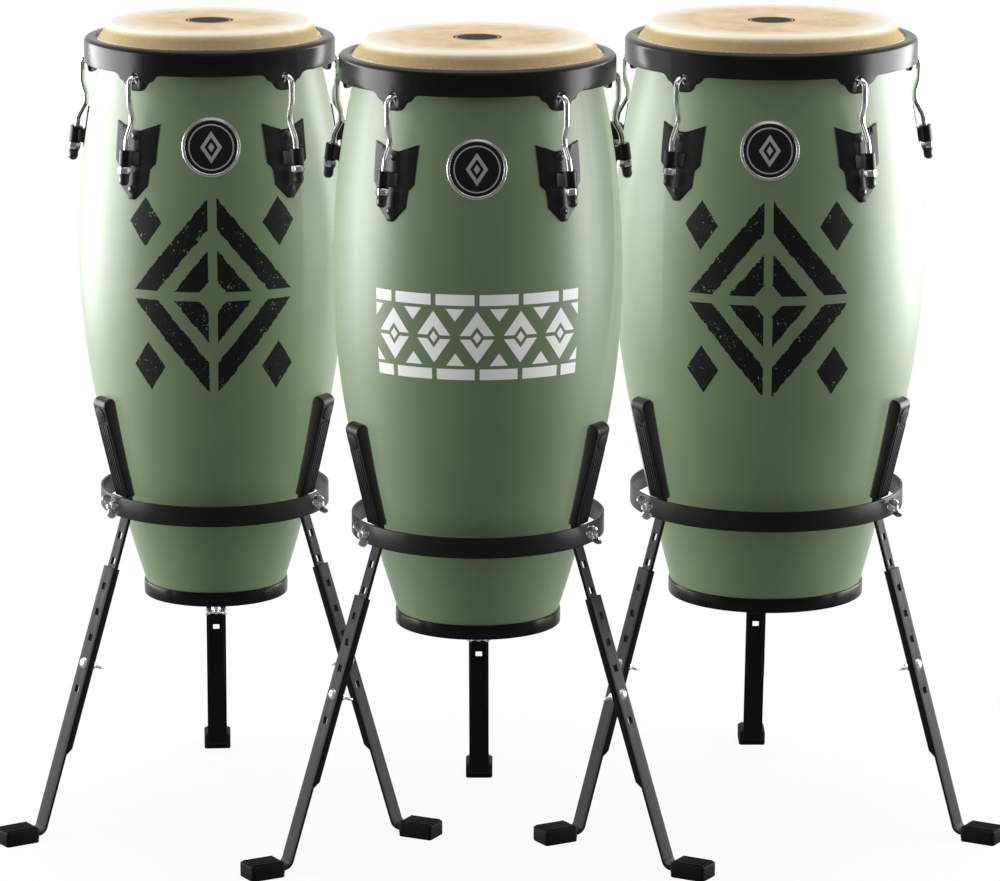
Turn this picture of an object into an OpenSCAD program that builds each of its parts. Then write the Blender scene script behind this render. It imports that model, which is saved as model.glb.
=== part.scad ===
// Three conga drums, each standing in a three-legged basket stand. Sizes are in millimetres and degrees.
// The floor is z = 0, the drums face -Y and the middle of the footprint is the origin.

/* [Drums] */
// Head diameter of the left drum
left_head_d = 254; // [240:1:268]
// Head diameter of the middle drum
center_head_d = 279.4; // [266:0.2:292]
// Head diameter of the right drum
right_head_d = 304.8; // [292:0.2:318]
// Widest diameter of the left shell
left_belly_d = 324; // [316:1:334]
// Widest diameter of the middle shell
center_belly_d = 346; // [338:1:356]
// Widest diameter of the right shell
right_belly_d = 379; // [371:1:389]
// Diameter of the left shell at its bottom end
left_bottom_d = 161; // [150:1:170]
// Diameter of the middle shell at its bottom end
center_bottom_d = 183; // [172:1:192]
// Diameter of the right shell at its bottom end
right_bottom_d = 226; // [215:1:234]
// Height of a drum from its bottom ring to the skin
drum_h = 711; // [680:1:740]
// Height of the widest place above the bottom of the drum
belly_h = 432; // [420:1:450]
// Height where the belly curve runs into the flatter lower curve
waist_h = 262; // [240:1:280]
// Number of staves in a shell
stave_count = 20; // [16:1:24]
// Thickness of the wooden wall
shell_wall = 10; // [8:0.5:12]

/* [Bottom ring] */
// Height of the ring that guards the lower edge
bottom_ring_h = 17.4; // [14:0.2:22]
// Thickness of the ring around and under the wood
bottom_ring_t = 3.5; // [2.5:0.1:4.5]

/* [Head and rim] */
// Thickness of the skin
skin_t = 2; // [1.5:0.1:2.4]
// Radius of the rounded edge of the playing face
shoulder_r = 8; // [7:0.5:9]
// Height of the playing face above the rim
head_rise = 18; // [15:0.5:20]
// Thickness of the wire in the flesh hoop
hoop_d = 8; // [6:0.5:9]
// How far the rim reaches out past the nominal head size
rim_reach = 25; // [24.5:0.1:27]
// Height of the rim without its tabs
rim_h = 30; // [26:0.5:33]
// Thickness of the rim
rim_t = 4; // [3:0.2:4.5]
// Width of the flat top of the rim
rim_top_w = 12.5; // [11:0.5:14]
// Width of a hook tab where it leaves the rim
tab_w = 70; // [56:1:76]
// Height of a hook tab below the rim
tab_h = 20; // [18:0.5:24]
// How far the rim can rise when the hooks are slackened
rim_travel = 6; // [4:0.5:7]

/* [Lugs and hooks] */
// Number of hooks on a drum
hook_count = 5; // [4:1:6]
// Thickness of a hook rod
rod_d = 7; // [6:0.2:8]
// Radius of the turn at the top of a hook
hook_r = 10; // [9.5:0.1:12]
// Depth of the middle of the lug tube below the skin
tube_drop = 146; // [140:1:152]
// Length of the lug tube
tube_h = 20; // [16:1:24]
// Outer diameter of the lug tube
tube_d = 15; // [14:0.5:17]
// Distance from the lug plate to the middle of the tube
tube_reach = 18; // [17:0.5:21]
// Lean of the lug tube
tube_lean = 8; // [5:0.5:10]
// Thickness of a lug plate
plate_t = 2.5; // [2:0.1:3]
// Width of a lug plate
plate_w = 62; // [54:1:68]
// Distance between the two screws of a lug plate
screw_pitch = 63; // [60:1:68]
// Diameter of a lug screw
screw_d = 5; // [4:0.5:6]
// Width of a tuning nut across its flats
nut_af = 14; // [13:0.5:16]
// Height of a tuning nut
nut_h = 8; // [6:0.5:10]
// Diameter of the closed cap under a tuning nut
cap_d = 12; // [11.5:0.5:14]

/* [Basket] */
// Height of the drum's bottom above the floor
seat_h = 279; // [265:1:300]
// Height of the basket ring above the drum's bottom
ring_rise = 125; // [115:1:135]
// Height of the basket ring
ring_h = 25; // [20:0.5:30]
// Thickness of the basket ring
ring_t = 3; // [2.5:0.1:4]
// Length of the spacer between a leg bar and the basket ring
spacer_l = 12; // [11:0.5:15]
// Distance from the shell to the outer face of a leg bar at the ring
bar_reach = 8; // [7.5:0.1:10]
// Width of an upper leg bar
bar_w = 19; // [16:0.5:22]
// Thickness of an upper leg bar
bar_t = 4; // [3:0.2:4.5]
// Length of an upper leg bar below the ring
bar_l = 212; // [205:1:225]
// Width of a cradle pad
pad_w = 30; // [27:0.5:34]
// Length of a cradle pad
pad_l = 128; // [115:1:135]
// Rubber outside the leg bar in a cradle pad
pad_skin = 7.5; // [6:0.1:8.5]

/* [Lower legs] */
// Lean of the left and middle legs
leg_lean = 18; // [16:0.1:19]
// Lean of the right legs
right_leg_lean = 16.5; // [15:0.1:18]
// Thickness of a lower leg
leg_t = 3; // [2.5:0.1:3.5]
// Distance between two holes of a lower leg
hole_pitch = 32.5; // [30:0.5:34]
// Size of a square hole
hole_w = 8; // [7.5:0.1:9]
// How far a lower leg slides up
leg_travel = 60; // [32:1:60]
// Length of a rubber foot
foot_l = 45; // [40:1:52]
// Width of a rubber foot
foot_w = 34; // [31:0.5:40]
// Height of a rubber foot
foot_h = 20; // [18:0.5:24]
// Diameter of the leg and ring bolts
bolt_d = 6.5; // [6:0.1:7]

/* [Layout] */
// How far the outer drums stand behind the middle drum
back_step = 150; // [140:1:165]
// Clear space between the middle drum's lugs and its neighbours
drum_gap = 4; // [3:0.5:30]
// Turn of the left drum and its stand toward the middle
left_turn = 3.4; // [0:0.1:6]
// Turn of the right drum toward the middle
right_turn = 3.1; // [0:0.1:6]

/* [Hidden] */
$fn = 64;
// circles this large need more sides to look round
big_fn = 720;
green = [0.45, 0.52, 0.40];
black = [0.08, 0.08, 0.09];
steel = [0.75, 0.75, 0.77];
hide = [0.80, 0.68, 0.52];
// clearances
fit = 0.2;
slide_fit = 0.4;
seat_gap = 0.3;

head_r = [left_head_d, center_head_d, right_head_d] / 2;
belly_r = [left_belly_d, center_belly_d, right_belly_d] / 2;
bottom_r = [left_bottom_d, center_bottom_d, right_bottom_d] / 2;

// The shell outline: one arc through the belly and the bearing edge, one tangent to it down to the bottom.
edge_inset = 4;
edge_drop = 6;
edge_h = drum_h - edge_drop;
edge_r = [for (r = head_r) r - edge_inset];
belly_arc = [
    for (d = [0:2])
        let (dr = belly_r[d] - edge_r[d])
        (pow(edge_h - belly_h, 2) + dr * dr) / (2 * dr)
];
waist_a = [for (d = [0:2]) asin((belly_h - waist_h) / belly_arc[d])];
waist_r = [for (d = [0:2]) belly_r[d] - belly_arc[d] * (1 - cos(waist_a[d]))];
low_arc = [
    for (d = [0:2])
        let (v = [bottom_r[d] - waist_r[d], -waist_h])
        -(v * v) / (2 * (v[0] * cos(waist_a[d]) - v[1] * sin(waist_a[d])))
];
low_mid = [
    for (d = [0:2])
        [waist_r[d] - low_arc[d] * cos(waist_a[d]), waist_h + low_arc[d] * sin(waist_a[d])]
];
function shell_r(d, z) =
    z > waist_h
    ? belly_r[d] - belly_arc[d] + sqrt(pow(belly_arc[d], 2) - pow(z - belly_h, 2))
    : low_r(d, z, 0);
// the lower curve moved out by off; its arc is negative where the shell flares toward the bottom
function low_r(d, z, off) =
    low_mid[d][0] + sign(low_arc[d]) * sqrt(pow(low_arc[d] + off, 2) - pow(low_mid[d][1] - z, 2));
function belly_lean(d, z) = asin((z - belly_h) / belly_arc[d]);

// head, flesh hoop and rim
shoulder_out = 3.3;
rim_top = drum_h - head_rise;
rim_r = [for (r = head_r) r + rim_reach];
rim_low = rim_top - rim_h;
rim_round = 6;
tab_root = 6;
wrap_gap = 0.1;
wrap_in = hoop_d / 2 + wrap_gap;
wrap_out = wrap_in + skin_t;
shoulder_mid = [for (d = [0:2]) [edge_r[d] + shoulder_out - shoulder_r, drum_h - shoulder_r]];
hoop_back = rim_t + seat_gap + wrap_out;
hoop_mid = [for (d = [0:2]) [rim_r[d] - hoop_back, rim_top - hoop_back]];

// hooks and lugs
tube_h_mid = drum_h - tube_drop;
plate_gap = 0.1;
tube_r = [for (d = [0:2]) shell_r(d, tube_h_mid) + plate_gap + plate_t + tube_reach];
rod_shift = rim_travel * sin(tube_lean);
rod_bore = rod_d + rod_shift + 2 * slide_fit;
cap_l = 15;
rod_in_cap = 9;
hook_drop = 13;
hook_z = rim_low - hook_drop;
hook_tip = 3;
hook_side = 0.5;
hook_in_r = [for (r = rim_r) r - rim_t - hook_side - rod_d / 2];
hook_lean_in = -30;
hook_lean_out = 18;
hook_bend = 22;
hook_knee = 8;
screw_high = 24;

// stands
ring_z = seat_h + ring_rise;
bar_flat = 16;
bar_bend = 12;
bar_r = [for (d = [0:2]) shell_r(d, ring_rise) + bar_reach];
pad_lift = 3;
pad_spread = 1.9;
pad_lean = [
    for (d = [0:2])
        atan((shell_r(d, ring_rise + pad_l) - shell_r(d, ring_rise)) / pad_l) + pad_spread
];
bar_top_inset = 12;
lean = [leg_lean, leg_lean, right_leg_lean];
bolt_from_end = 18;
bolt_s = bar_l - bolt_from_end;
// the leg's top end and the end of its channel, in holes from the bolt
holes_above = 3.75;
holes_below = 3.5;
leg_top_s = bolt_s - holes_above * hole_pitch;
channel_end_s = bolt_s + holes_below * hole_pitch;
flange_t = 2.5;
flange_h = 8.5;
leg_w = bar_w + 2 * slide_fit + 2 * flange_t;
leg_bend = 10;
leg_low = 7;
foot_start = 1;
// distance along a leg from the lower bend of its bar to the bend above the foot
bend_out = slide_fit + leg_t + leg_bend;
leg_drop = ring_z - bar_flat / 2 - leg_low - leg_t - leg_bend;
leg_bend_s = [for (a = lean) (leg_drop + bend_out * sin(a)) / cos(a)];
foot_r = [
    for (d = [0:2])
        bar_r[d] + leg_bend_s[d] * sin(lean[d]) + bend_out * cos(lean[d])
];
leg_az = [-60, 60, 180];
// how far a bolt stands out past the face its wing nut sits on
bolt_out = 12;
// rubber in front of the leg's end in a foot, and the room left there
toe_wall = 4;
toe_gap = 1;

// layout: the outer drums clear the lugs of the middle drum
lug_reach = tube_r[1] + tube_d / 2;
side_l = sqrt(pow(belly_r[0] + lug_reach + drum_gap, 2) - pow(back_step, 2));
side_r = sqrt(pow(belly_r[2] + lug_reach + drum_gap, 2) - pow(back_step, 2));
stand_turn = [left_turn, 0, 0];
drum_turn = [left_turn, 0, -right_turn];
place = [[-side_l, back_step], [0, 0], [side_r, back_step]];
foot_round = 4;
function foot_corner(d, k, side) =
    let (
        a = leg_az[k] + stand_turn[d],
        r = foot_r[d] + foot_start + foot_l - foot_round,
        y = side * (foot_w / 2 - foot_round)
    )
    place[d] + r * [sin(a), -cos(a)] + y * [cos(a), sin(a)];
corners = [for (d = [0:2], k = [0:2], side = [-1, 1]) foot_corner(d, k, side)];
xs = [for (c = corners) c[0]];
ys = [for (c = corners) c[1]];
mid = [(min(xs) + max(xs)) / 2, (min(ys) + max(ys)) / 2];

// placing helpers: +X points away from the drum's axis
module at_drum(d) {
    translate([place[d][0] - mid[0], place[d][1] - mid[1], seat_h])
        rotate([0, 0, drum_turn[d]])
            children();
}
module at_stand(d) {
    translate([place[d][0] - mid[0], place[d][1] - mid[1], 0])
        rotate([0, 0, stand_turn[d]])
            children();
}
module facing(az) {
    rotate([0, 0, az - 90])
        children();
}
module each_hook() {
    for (k = [0:hook_count - 1])
        facing((k + 0.5) * 360 / hook_count)
            children();
}

// A flat section carried along straight lengths and bends. Each step is [length, turn, turn radius].
// A positive turn goes toward +X. Bends are a hair thicker than the straights that run into them.
bend_swell = 1.005;
bend_lap = 0.3;
module carry(steps, i = 0) {
    if (i < len(steps)) {
        run = steps[i][0];
        turn = steps[i][1];
        r = steps[i][2];
        side = turn > 0 ? 1 : -1;
        lap_0 = i == 0 ? 0 : bend_lap;
        lap_1 = turn == 0 ? 0 : bend_lap;
        translate([0, 0, -lap_0])
            linear_extrude(run + lap_0 + lap_1)
                children();
        if (turn != 0)
            translate([side * r, 0, run]) {
                rotate([90, 0, side > 0 ? 180 : 0])
                    rotate_extrude(angle = abs(turn))
                        translate([r, 0])
                            scale(bend_swell)
                                children();
                rotate([0, turn, 0])
                    translate([-side * r, 0, 0])
                        carry(steps, i + 1)
                            children();
            }
    }
}

// a fan with its point at the origin, for cutting arcs
module fan(a0, a1, r) {
    steps = 8;
    turns = [for (i = [0:steps]) a0 + (a1 - a0) * i / steps];
    polygon(concat([[0, 0]], [for (a = turns) r * [cos(a), sin(a)]]));
}
module arc_strip(r_in, r_out, a0, a1) {
    intersection() {
        difference() {
            circle(r_out);
            circle(r_in);
        }
        fan(a0, a1, 2 * r_out);
    }
}
module rounded_box(size, r) {
    linear_extrude(size[2]) {
        translate([r, 0])
            square([size[0] - 2 * r, size[1]]);
        translate([0, r])
            square([size[0], size[1] - 2 * r]);
        for (x = [r, size[0] - r], y = [r, size[1] - r])
            translate([x, y])
                circle(r);
    }
}

// what lies above the waist, on the belly's side of the line square to the shell there, or below it
module above_waist(d, side) {
    reach = 2 * belly_arc[d];
    translate([waist_r[d], waist_h])
        rotate(-waist_a[d])
            translate([-reach, side > 0 ? 0 : -reach])
                square([2 * reach, reach]);
}
// what lies inside the lower curve, moved out by off
module inside_low(d, off) {
    if (low_arc[d] > 0)
        translate(low_mid[d])
            circle(low_arc[d] + off, $fn = big_fn);
    else
        difference() {
            square([4 * belly_r[d], 4 * drum_h], center = true);
            translate(low_mid[d])
                circle(-low_arc[d] - off, $fn = big_fn);
        }
}
// half section of the barrel, moved out by off, between two heights; a strip laps the joint of its two curves
waist_lap = 1;
module barrel_half(d, off, z0, z1) {
    intersection() {
        translate([0, z0])
            square([belly_r[d] + off + shell_wall, z1 - z0]);
        union() {
            intersection() {
                translate([belly_r[d] - belly_arc[d], belly_h])
                    circle(belly_arc[d] + off, $fn = big_fn);
                above_waist(d, 1);
            }
            intersection() {
                inside_low(d, off);
                above_waist(d, -1);
            }
            translate([waist_r[d], waist_h])
                rotate(-waist_a[d])
                    translate([off - belly_arc[d], -waist_lap])
                        square([belly_arc[d] - waist_lap, 2 * waist_lap]);
        }
    }
}
// the lower arc alone, which is all that the cradle pads meet, in steps too short to see
module low_half(d, off) {
    steps = 24;
    z0 = ring_rise - shell_wall;
    z1 = ring_rise + pad_l + 3 * shell_wall;
    polygon(concat(
        [[0, z0]],
        [
            for (i = [0:steps])
                let (z = z0 + (z1 - z0) * i / steps)
                [low_r(d, z, off), z]
        ],
        [[0, z1]]
    ));
}
module belly_band(d, off0, off1, z0, z1) {
    intersection() {
        translate([belly_r[d] - belly_arc[d], belly_h])
            difference() {
                circle(belly_arc[d] + off1, $fn = big_fn);
                circle(belly_arc[d] + off0, $fn = big_fn);
            }
        translate([0, z0])
            square([2 * belly_r[d], z1 - z0]);
    }
}

// a place on the shell's surface: +X along the surface's own normal
module on_shell(d, z) {
    translate([shell_r(d, z), 0, z])
        rotate([0, -belly_lean(d, z), 0])
            children();
}
screw_z = [tube_h_mid + screw_high, tube_h_mid + screw_high - screw_pitch];
module screw_holes(d, depth) {
    each_hook()
        for (z = screw_z)
            on_shell(d, z)
                translate([-depth, 0, 0])
                    rotate([0, 90, 0])
                        cylinder(d = screw_d + 2 * fit, h = depth + 4 * plate_t);
}

// Drum pieces
// the wall ends in a round bead on its own middle line, under the skin
bead_r = shell_wall / 2 - fit;
bead_h = drum_h - skin_t - seat_gap - bead_r;
bead_mid = [
    for (d = [0:2])
        belly_r[d] - belly_arc[d] + sqrt(pow(belly_arc[d] - shell_wall / 2, 2) - pow(bead_h - belly_h, 2))
];
ring_inset = 1.5;
ring_lap = 1;
glue_a = 0.04;
ring_seat_r = [for (d = [0:2]) shell_r(d, bottom_ring_h) - ring_inset];
module shell_section(d) {
    difference() {
        barrel_half(d, 0, bottom_ring_h, bead_h);
        barrel_half(d, -shell_wall, 0, drum_h);
    }
    translate([ring_seat_r[d] - shell_wall, bottom_ring_t])
        square([shell_wall, bottom_ring_h - bottom_ring_t + ring_lap]);
    translate([bead_mid[d], bead_h])
        circle(bead_r);
}
// staves side by side, a glue line apart, turned so that the lug screws go through the middle of a stave
module shell(d) {
    step = 360 / stave_count;
    color(green)
        at_drum(d)
            difference() {
                for (i = [0:stave_count - 1])
                    facing((i - 0.5) * step + glue_a / 2)
                        rotate_extrude(angle = step - glue_a)
                            shell_section(d);
                screw_holes(d, 3 * shell_wall);
            }
}
module bottom_ring(d) {
    color(black)
        at_drum(d)
            rotate_extrude()
                difference() {
                    translate([ring_seat_r[d] - shell_wall, 0])
                        square([shell_wall + fit + bottom_ring_t, bottom_ring_h]);
                    translate([ring_seat_r[d] - 2 * shell_wall, bottom_ring_t])
                        square([2 * shell_wall + fit, bottom_ring_h]);
                }
}
module head(d) {
    a = shoulder_mid[d];
    b = hoop_mid[d];
    way = atan2(b[1] - a[1], b[0] - a[0]) - asin((shoulder_r + wrap_in) / norm(b - a));
    n = [-sin(way), cos(way)];
    color(hide)
        at_drum(d)
            rotate_extrude() {
                translate([0, drum_h - skin_t])
                    square([a[0], skin_t]);
                translate(a)
                    arc_strip(shoulder_r - skin_t, shoulder_r, way + 90, 90);
                polygon([
                    a + shoulder_r * n, a + (shoulder_r - skin_t) * n,
                    b - wrap_out * n, b - wrap_in * n
                ]);
                translate(b)
                    arc_strip(wrap_in, wrap_out, way + 270, way + 550);
            }
}
module flesh_hoop(d) {
    color(steel)
        at_drum(d)
            rotate_extrude()
                translate(hoop_mid[d])
                    circle(d = hoop_d);
}
// a polygon from its right half, listed from the top down
function both_sides(half) =
    concat(half, [for (i = [len(half) - 1:-1:0]) [-half[i][0], half[i][1]]]);
module tab_outline() {
    scoop_r = 9;
    scoop_at = [tab_w / 2 - 3, -scoop_r - 4];
    toe_w = 10;
    toe_h = 5;
    neck_w = 14;
    difference() {
        polygon(both_sides([
            [tab_w / 2, tab_root], [tab_w / 2, 0], [tab_w / 2 - toe_w, -toe_h],
            [tab_w / 2 - neck_w, -tab_h / 2], [0.15 * tab_w, -tab_h]
        ]));
        for (side = [-1, 1])
            translate([side * scoop_at[0], scoop_at[1]])
                circle(scoop_r);
    }
}
module tab_hole() {
    play = 2;
    slot_w = rod_d + play;
    low = play - hook_drop;
    high = hook_r + rod_d / 2 + play / 2 - hook_drop;
    translate([-slot_w / 2, low + slot_w / 2])
        square([slot_w, high - low - slot_w]);
    for (y = [low + slot_w / 2, high - slot_w / 2])
        translate([0, y])
            circle(d = slot_w);
}
module rim(d) {
    r = rim_r[d];
    color(black)
        at_drum(d)
            difference() {
                rotate_extrude() {
                    translate([r - rim_t, rim_low - 2 * tab_h])
                        square([rim_t, rim_h + 2 * tab_h - rim_round]);
                    translate([r - rim_round, rim_top - rim_round])
                        arc_strip(rim_round - rim_t, rim_round, 0, 90);
                    translate([r - rim_top_w, rim_top - rim_t])
                        square([rim_top_w - rim_round, rim_t]);
                    translate([r - rim_top_w, rim_top - rim_t / 2])
                        circle(d = rim_t);
                }
                difference() {
                    translate([0, 0, rim_low - 3 * tab_h])
                        cylinder(r = 2 * r, h = 3 * tab_h);
                    each_hook()
                        translate([r - 4 * rim_t, 0, rim_low])
                            rotate([90, 0, 90])
                                linear_extrude(8 * rim_t)
                                    tab_outline();
                }
                each_hook()
                    translate([r - 3 * rim_t, 0, rim_low])
                        rotate([90, 0, 90])
                            linear_extrude(6 * rim_t)
                                tab_hole();
            }
}
// A hook starts in the cap of its nut, runs up through the lug tube, bows in and out
// and turns over the tab.
module hook(d) {
    start_l = rod_in_cap + nut_h + tube_h + hook_knee;
    p = [tube_r[d] - rod_shift / 2, tube_h_mid];
    low_end = tube_h / 2 + nut_h + rod_in_cap;
    knee_l = 8;
    bend_1 = hook_bend * [cos(hook_lean_in) - cos(tube_lean), sin(-tube_lean) - sin(hook_lean_in)];
    bend_2 = hook_bend * [cos(hook_lean_in) - cos(hook_lean_out), sin(hook_lean_out) - sin(hook_lean_in)];
    bend_3 = hook_bend * [1 - cos(hook_lean_out), sin(hook_lean_out)];
    from = p + (tube_h / 2 + hook_knee) * [-sin(tube_lean), cos(tube_lean)];
    known = from + bend_1 + bend_2 + bend_3 + knee_l * [sin(hook_lean_out), cos(hook_lean_out)];
    slant_l = (hook_in_r[d] + 2 * hook_r - known[0]) / sin(hook_lean_in);
    rise_l = hook_z - known[1] - slant_l * cos(hook_lean_in);
    translate([p[0], 0, p[1]])
        rotate([0, -tube_lean, 0])
            translate([0, 0, -low_end])
                carry([
                    [start_l, hook_lean_in + tube_lean, hook_bend],
                    [slant_l, hook_lean_out - hook_lean_in, hook_bend],
                    [knee_l, -hook_lean_out, hook_bend],
                    [rise_l, -180, hook_r],
                    [hook_tip, 0, 0]
                ])
                    circle(d = rod_d);
}
module tension_hooks(d) {
    color(steel)
        at_drum(d)
            each_hook()
                hook(d);
}
// heights of the lug plate's horns and point from the middle of its tube
plate_top = 40;
plate_low = -51;
module plate_outline() {
    w = plate_w / 2;
    polygon(both_sides([
        [6, 31], [w, plate_top], [w - 2, -7], [w - 9, -14], [w - 11, -34], [4, plate_low]
    ]));
}
module at_tube(d) {
    translate([tube_r[d], 0, tube_h_mid])
        rotate([0, -tube_lean, 0])
            children();
}
module lug_plates(d) {
    arm_w = 10;
    arm_h = tube_h - 4;
    z0 = tube_h_mid + 1.2 * plate_low;
    z1 = tube_h_mid + 1.2 * plate_top;
    color(black)
        at_drum(d)
            difference() {
                union() {
                    intersection() {
                        rotate_extrude()
                            belly_band(d, plate_gap, plate_gap + plate_t, z0, z1);
                        each_hook()
                            translate([belly_r[d] / 2, 0, tube_h_mid])
                                rotate([90, 0, 90])
                                    linear_extrude(belly_r[d])
                                        plate_outline();
                    }
                    each_hook()
                        at_tube(d) {
                            translate([0, 0, -tube_h / 2])
                                cylinder(d = tube_d, h = tube_h);
                            translate([-tube_reach - 1, -arm_w / 2, -arm_h / 2])
                                cube([tube_reach, arm_w, arm_h]);
                        }
                }
                each_hook()
                    at_tube(d)
                        translate([0, 0, -tube_h])
                            cylinder(d = rod_bore, h = 2 * tube_h);
                screw_holes(d, shell_wall);
            }
}
module lug_screws(d) {
    head_d = 2.2 * screw_d;
    head_h = 0.75 * screw_d;
    ball_r = (pow(head_d / 2, 2) + head_h * head_h) / (2 * head_h);
    inner_nut_h = 4.5;
    shank_l = shell_wall + plate_t + inner_nut_h + 3;
    color(black)
        at_drum(d)
            each_hook()
                for (z = screw_z)
                    on_shell(d, z) {
                        translate([plate_gap + plate_t + plate_gap, 0, 0])
                            rotate([0, 90, 0]) {
                                intersection() {
                                    translate([0, 0, head_h - ball_r])
                                        sphere(ball_r);
                                    cylinder(d = head_d, h = head_h);
                                }
                                translate([0, 0, -shank_l])
                                    cylinder(d = screw_d, h = shank_l);
                            }
                        translate([-shell_wall - inner_nut_h - fit, 0, 0])
                            rotate([0, 90, 0])
                                difference() {
                                    cylinder(d = 2 * screw_d, h = inner_nut_h, $fn = 6);
                                    translate([0, 0, -1])
                                        cylinder(d = screw_d + fit, h = inner_nut_h + 2);
                                }
                    }
}
module tuning_nuts(d) {
    color(steel)
        at_drum(d)
            each_hook()
                at_tube(d)
                    translate([0, 0, -tube_h / 2 - nut_h]) {
                        difference() {
                            cylinder(d = nut_af / cos(30), h = nut_h, $fn = 6);
                            translate([0, 0, -1])
                                cylinder(d = rod_bore, h = nut_h + 2);
                        }
                        difference() {
                            union() {
                                translate([0, 0, cap_d / 2 - cap_l])
                                    cylinder(d = cap_d, h = cap_l - cap_d / 2);
                                translate([0, 0, cap_d / 2 - cap_l])
                                    sphere(d = cap_d);
                            }
                            translate([0, 0, -rod_in_cap - slide_fit])
                                cylinder(d = rod_bore, h = cap_l);
                        }
                    }
}

// Stand pieces
module basket_ring(d) {
    inner = bar_r[d] + spacer_l;
    color(black)
        at_stand(d)
            difference() {
                translate([0, 0, ring_z - ring_h / 2])
                    difference() {
                        cylinder(r = inner + ring_t, h = ring_h, $fn = big_fn);
                        translate([0, 0, -1])
                            cylinder(r = inner, h = ring_h + 2, $fn = big_fn);
                    }
                for (az = leg_az)
                    facing(az)
                        translate([inner - ring_t, 0, ring_z])
                            rotate([0, 90, 0])
                                cylinder(d = bolt_d + 2 * fit, h = 3 * ring_t);
            }
}
// frame of the leaning part of a leg: +Z runs down the leg, +X points inward, the bar's outer face is x = 0
module down_leg(d) {
    translate([bar_r[d], 0, ring_z - bar_flat / 2])
        rotate([0, 180 - lean[d], 0])
            children();
}
module up_bar(d) {
    translate([bar_r[d], 0, ring_z + bar_flat / 2])
        rotate([0, pad_lean[d], 0])
            children();
}
module upper_leg(d) {
    arm_l = pad_lift + pad_l - bar_top_inset;
    cut_a = bar_bend * tan(pad_lean[d] / 2);
    cut_b = bar_bend * tan(lean[d] / 2);
    difference() {
        up_bar(d)
            translate([-bar_t / 2, 0, arm_l])
                rotate([0, 180, 0])
                    carry([
                        [arm_l - cut_a, -pad_lean[d], bar_bend + bar_t / 2],
                        [bar_flat - cut_a - cut_b, -lean[d], bar_bend + bar_t / 2],
                        [bar_l - cut_b, 0, 0]
                    ])
                        square([bar_t, bar_w], center = true);
        translate([bar_r[d] - 2 * bar_t, 0, ring_z])
            rotate([0, 90, 0])
                cylinder(d = bolt_d + 2 * fit, h = 4 * bar_t);
        down_leg(d) {
            for (i = [4, 5])
                translate([-bar_t, -hole_w / 2, bolt_s - i * hole_pitch - hole_w / 2])
                    cube([3 * bar_t, hole_w, hole_w]);
            translate([-bar_t, -hole_w / 2, bolt_s - leg_travel - hole_w / 2])
                cube([3 * bar_t, hole_w, leg_travel + hole_w]);
        }
    }
}
module upper_legs() {
    color(black)
        for (d = [0:2])
            at_stand(d)
                for (az = leg_az)
                    facing(az)
                        upper_leg(d);
}
module cradle_pad(d) {
    round_r = 8;
    back = bar_t + 2 * shell_wall;
    depth = back + pad_skin;
    rib_pitch = 5;
    groove_w = 1.6;
    groove_t = 1.2;
    groove_l = 0.76 * pad_l;
    difference() {
        up_bar(d)
            translate([-back, pad_w / 2, pad_lift])
                rotate([90, 0, 0])
                    difference() {
                        linear_extrude(pad_w) {
                            square([depth, pad_l - round_r]);
                            square([depth - round_r, pad_l]);
                            translate([depth - round_r, pad_l - round_r])
                                circle(round_r);
                        }
                        for (i = [-2:2])
                            translate([depth - groove_t, -1, pad_w / 2 + rib_pitch * i - groove_w / 2])
                                cube([2 * groove_t, groove_l, groove_w]);
                    }
        up_bar(d)
            translate([-bar_t - fit, -bar_w / 2 - fit, -1])
                cube([bar_t + 2 * fit, bar_w + 2 * fit, pad_lift + pad_l - bar_top_inset + 1 + fit]);
        translate([0, 0, seat_h])
            rotate_extrude($fn = big_fn)
                low_half(d, seat_gap);
    }
}
module cradle_pads() {
    color(black)
        for (d = [0:2])
            at_stand(d)
                for (az = leg_az)
                    facing(az)
                        cradle_pad(d);
}
// a wing nut on the +Z axis, its flat face at z = 0
module wing_nut() {
    hub_d = 12;
    hub_h = 8;
    wing_d = 14;
    wing_t = 3;
    difference() {
        union() {
            cylinder(d = hub_d, h = hub_h);
            for (side = [-1, 1])
                translate([side * 0.75 * hub_d, wing_t / 2, hub_h])
                    rotate([90, 0, 0])
                        cylinder(d = wing_d, h = wing_t);
        }
        translate([0, 0, -1])
            cylinder(d = bolt_d + fit, h = 2 * hub_h);
        translate([-2 * wing_d, -wing_d, -wing_d])
            cube([4 * wing_d, 2 * wing_d, wing_d]);
    }
}
module ring_fastener(d) {
    head_h = 1.5;
    grip = bar_t + spacer_l + ring_t;
    translate([bar_r[d] - bar_t, 0, ring_z])
        rotate([0, 90, 0]) {
            translate([0, 0, -head_h - fit])
                cylinder(d = 1.8 * bolt_d, h = head_h);
            translate([0, 0, -fit])
                cylinder(d = bolt_d, h = grip + bolt_out);
            translate([0, 0, bar_t])
                difference() {
                    cylinder(d = 1.7 * bolt_d, h = spacer_l - fit);
                    translate([0, 0, -1])
                        cylinder(d = bolt_d + 2 * fit, h = spacer_l + 2);
                }
            translate([0, 0, grip + seat_gap])
                rotate([0, 0, 35])
                    wing_nut();
        }
}
module ring_fasteners() {
    color(steel)
        for (d = [0:2])
            at_stand(d)
                for (az = leg_az)
                    facing(az)
                        ring_fastener(d);
}
module flange_outline() {
    polygon([
        [0, leg_top_s], [flange_h, leg_top_s], [flange_h, channel_end_s - flange_h],
        [leg_t, channel_end_s], [0, channel_end_s]
    ]);
}
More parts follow.
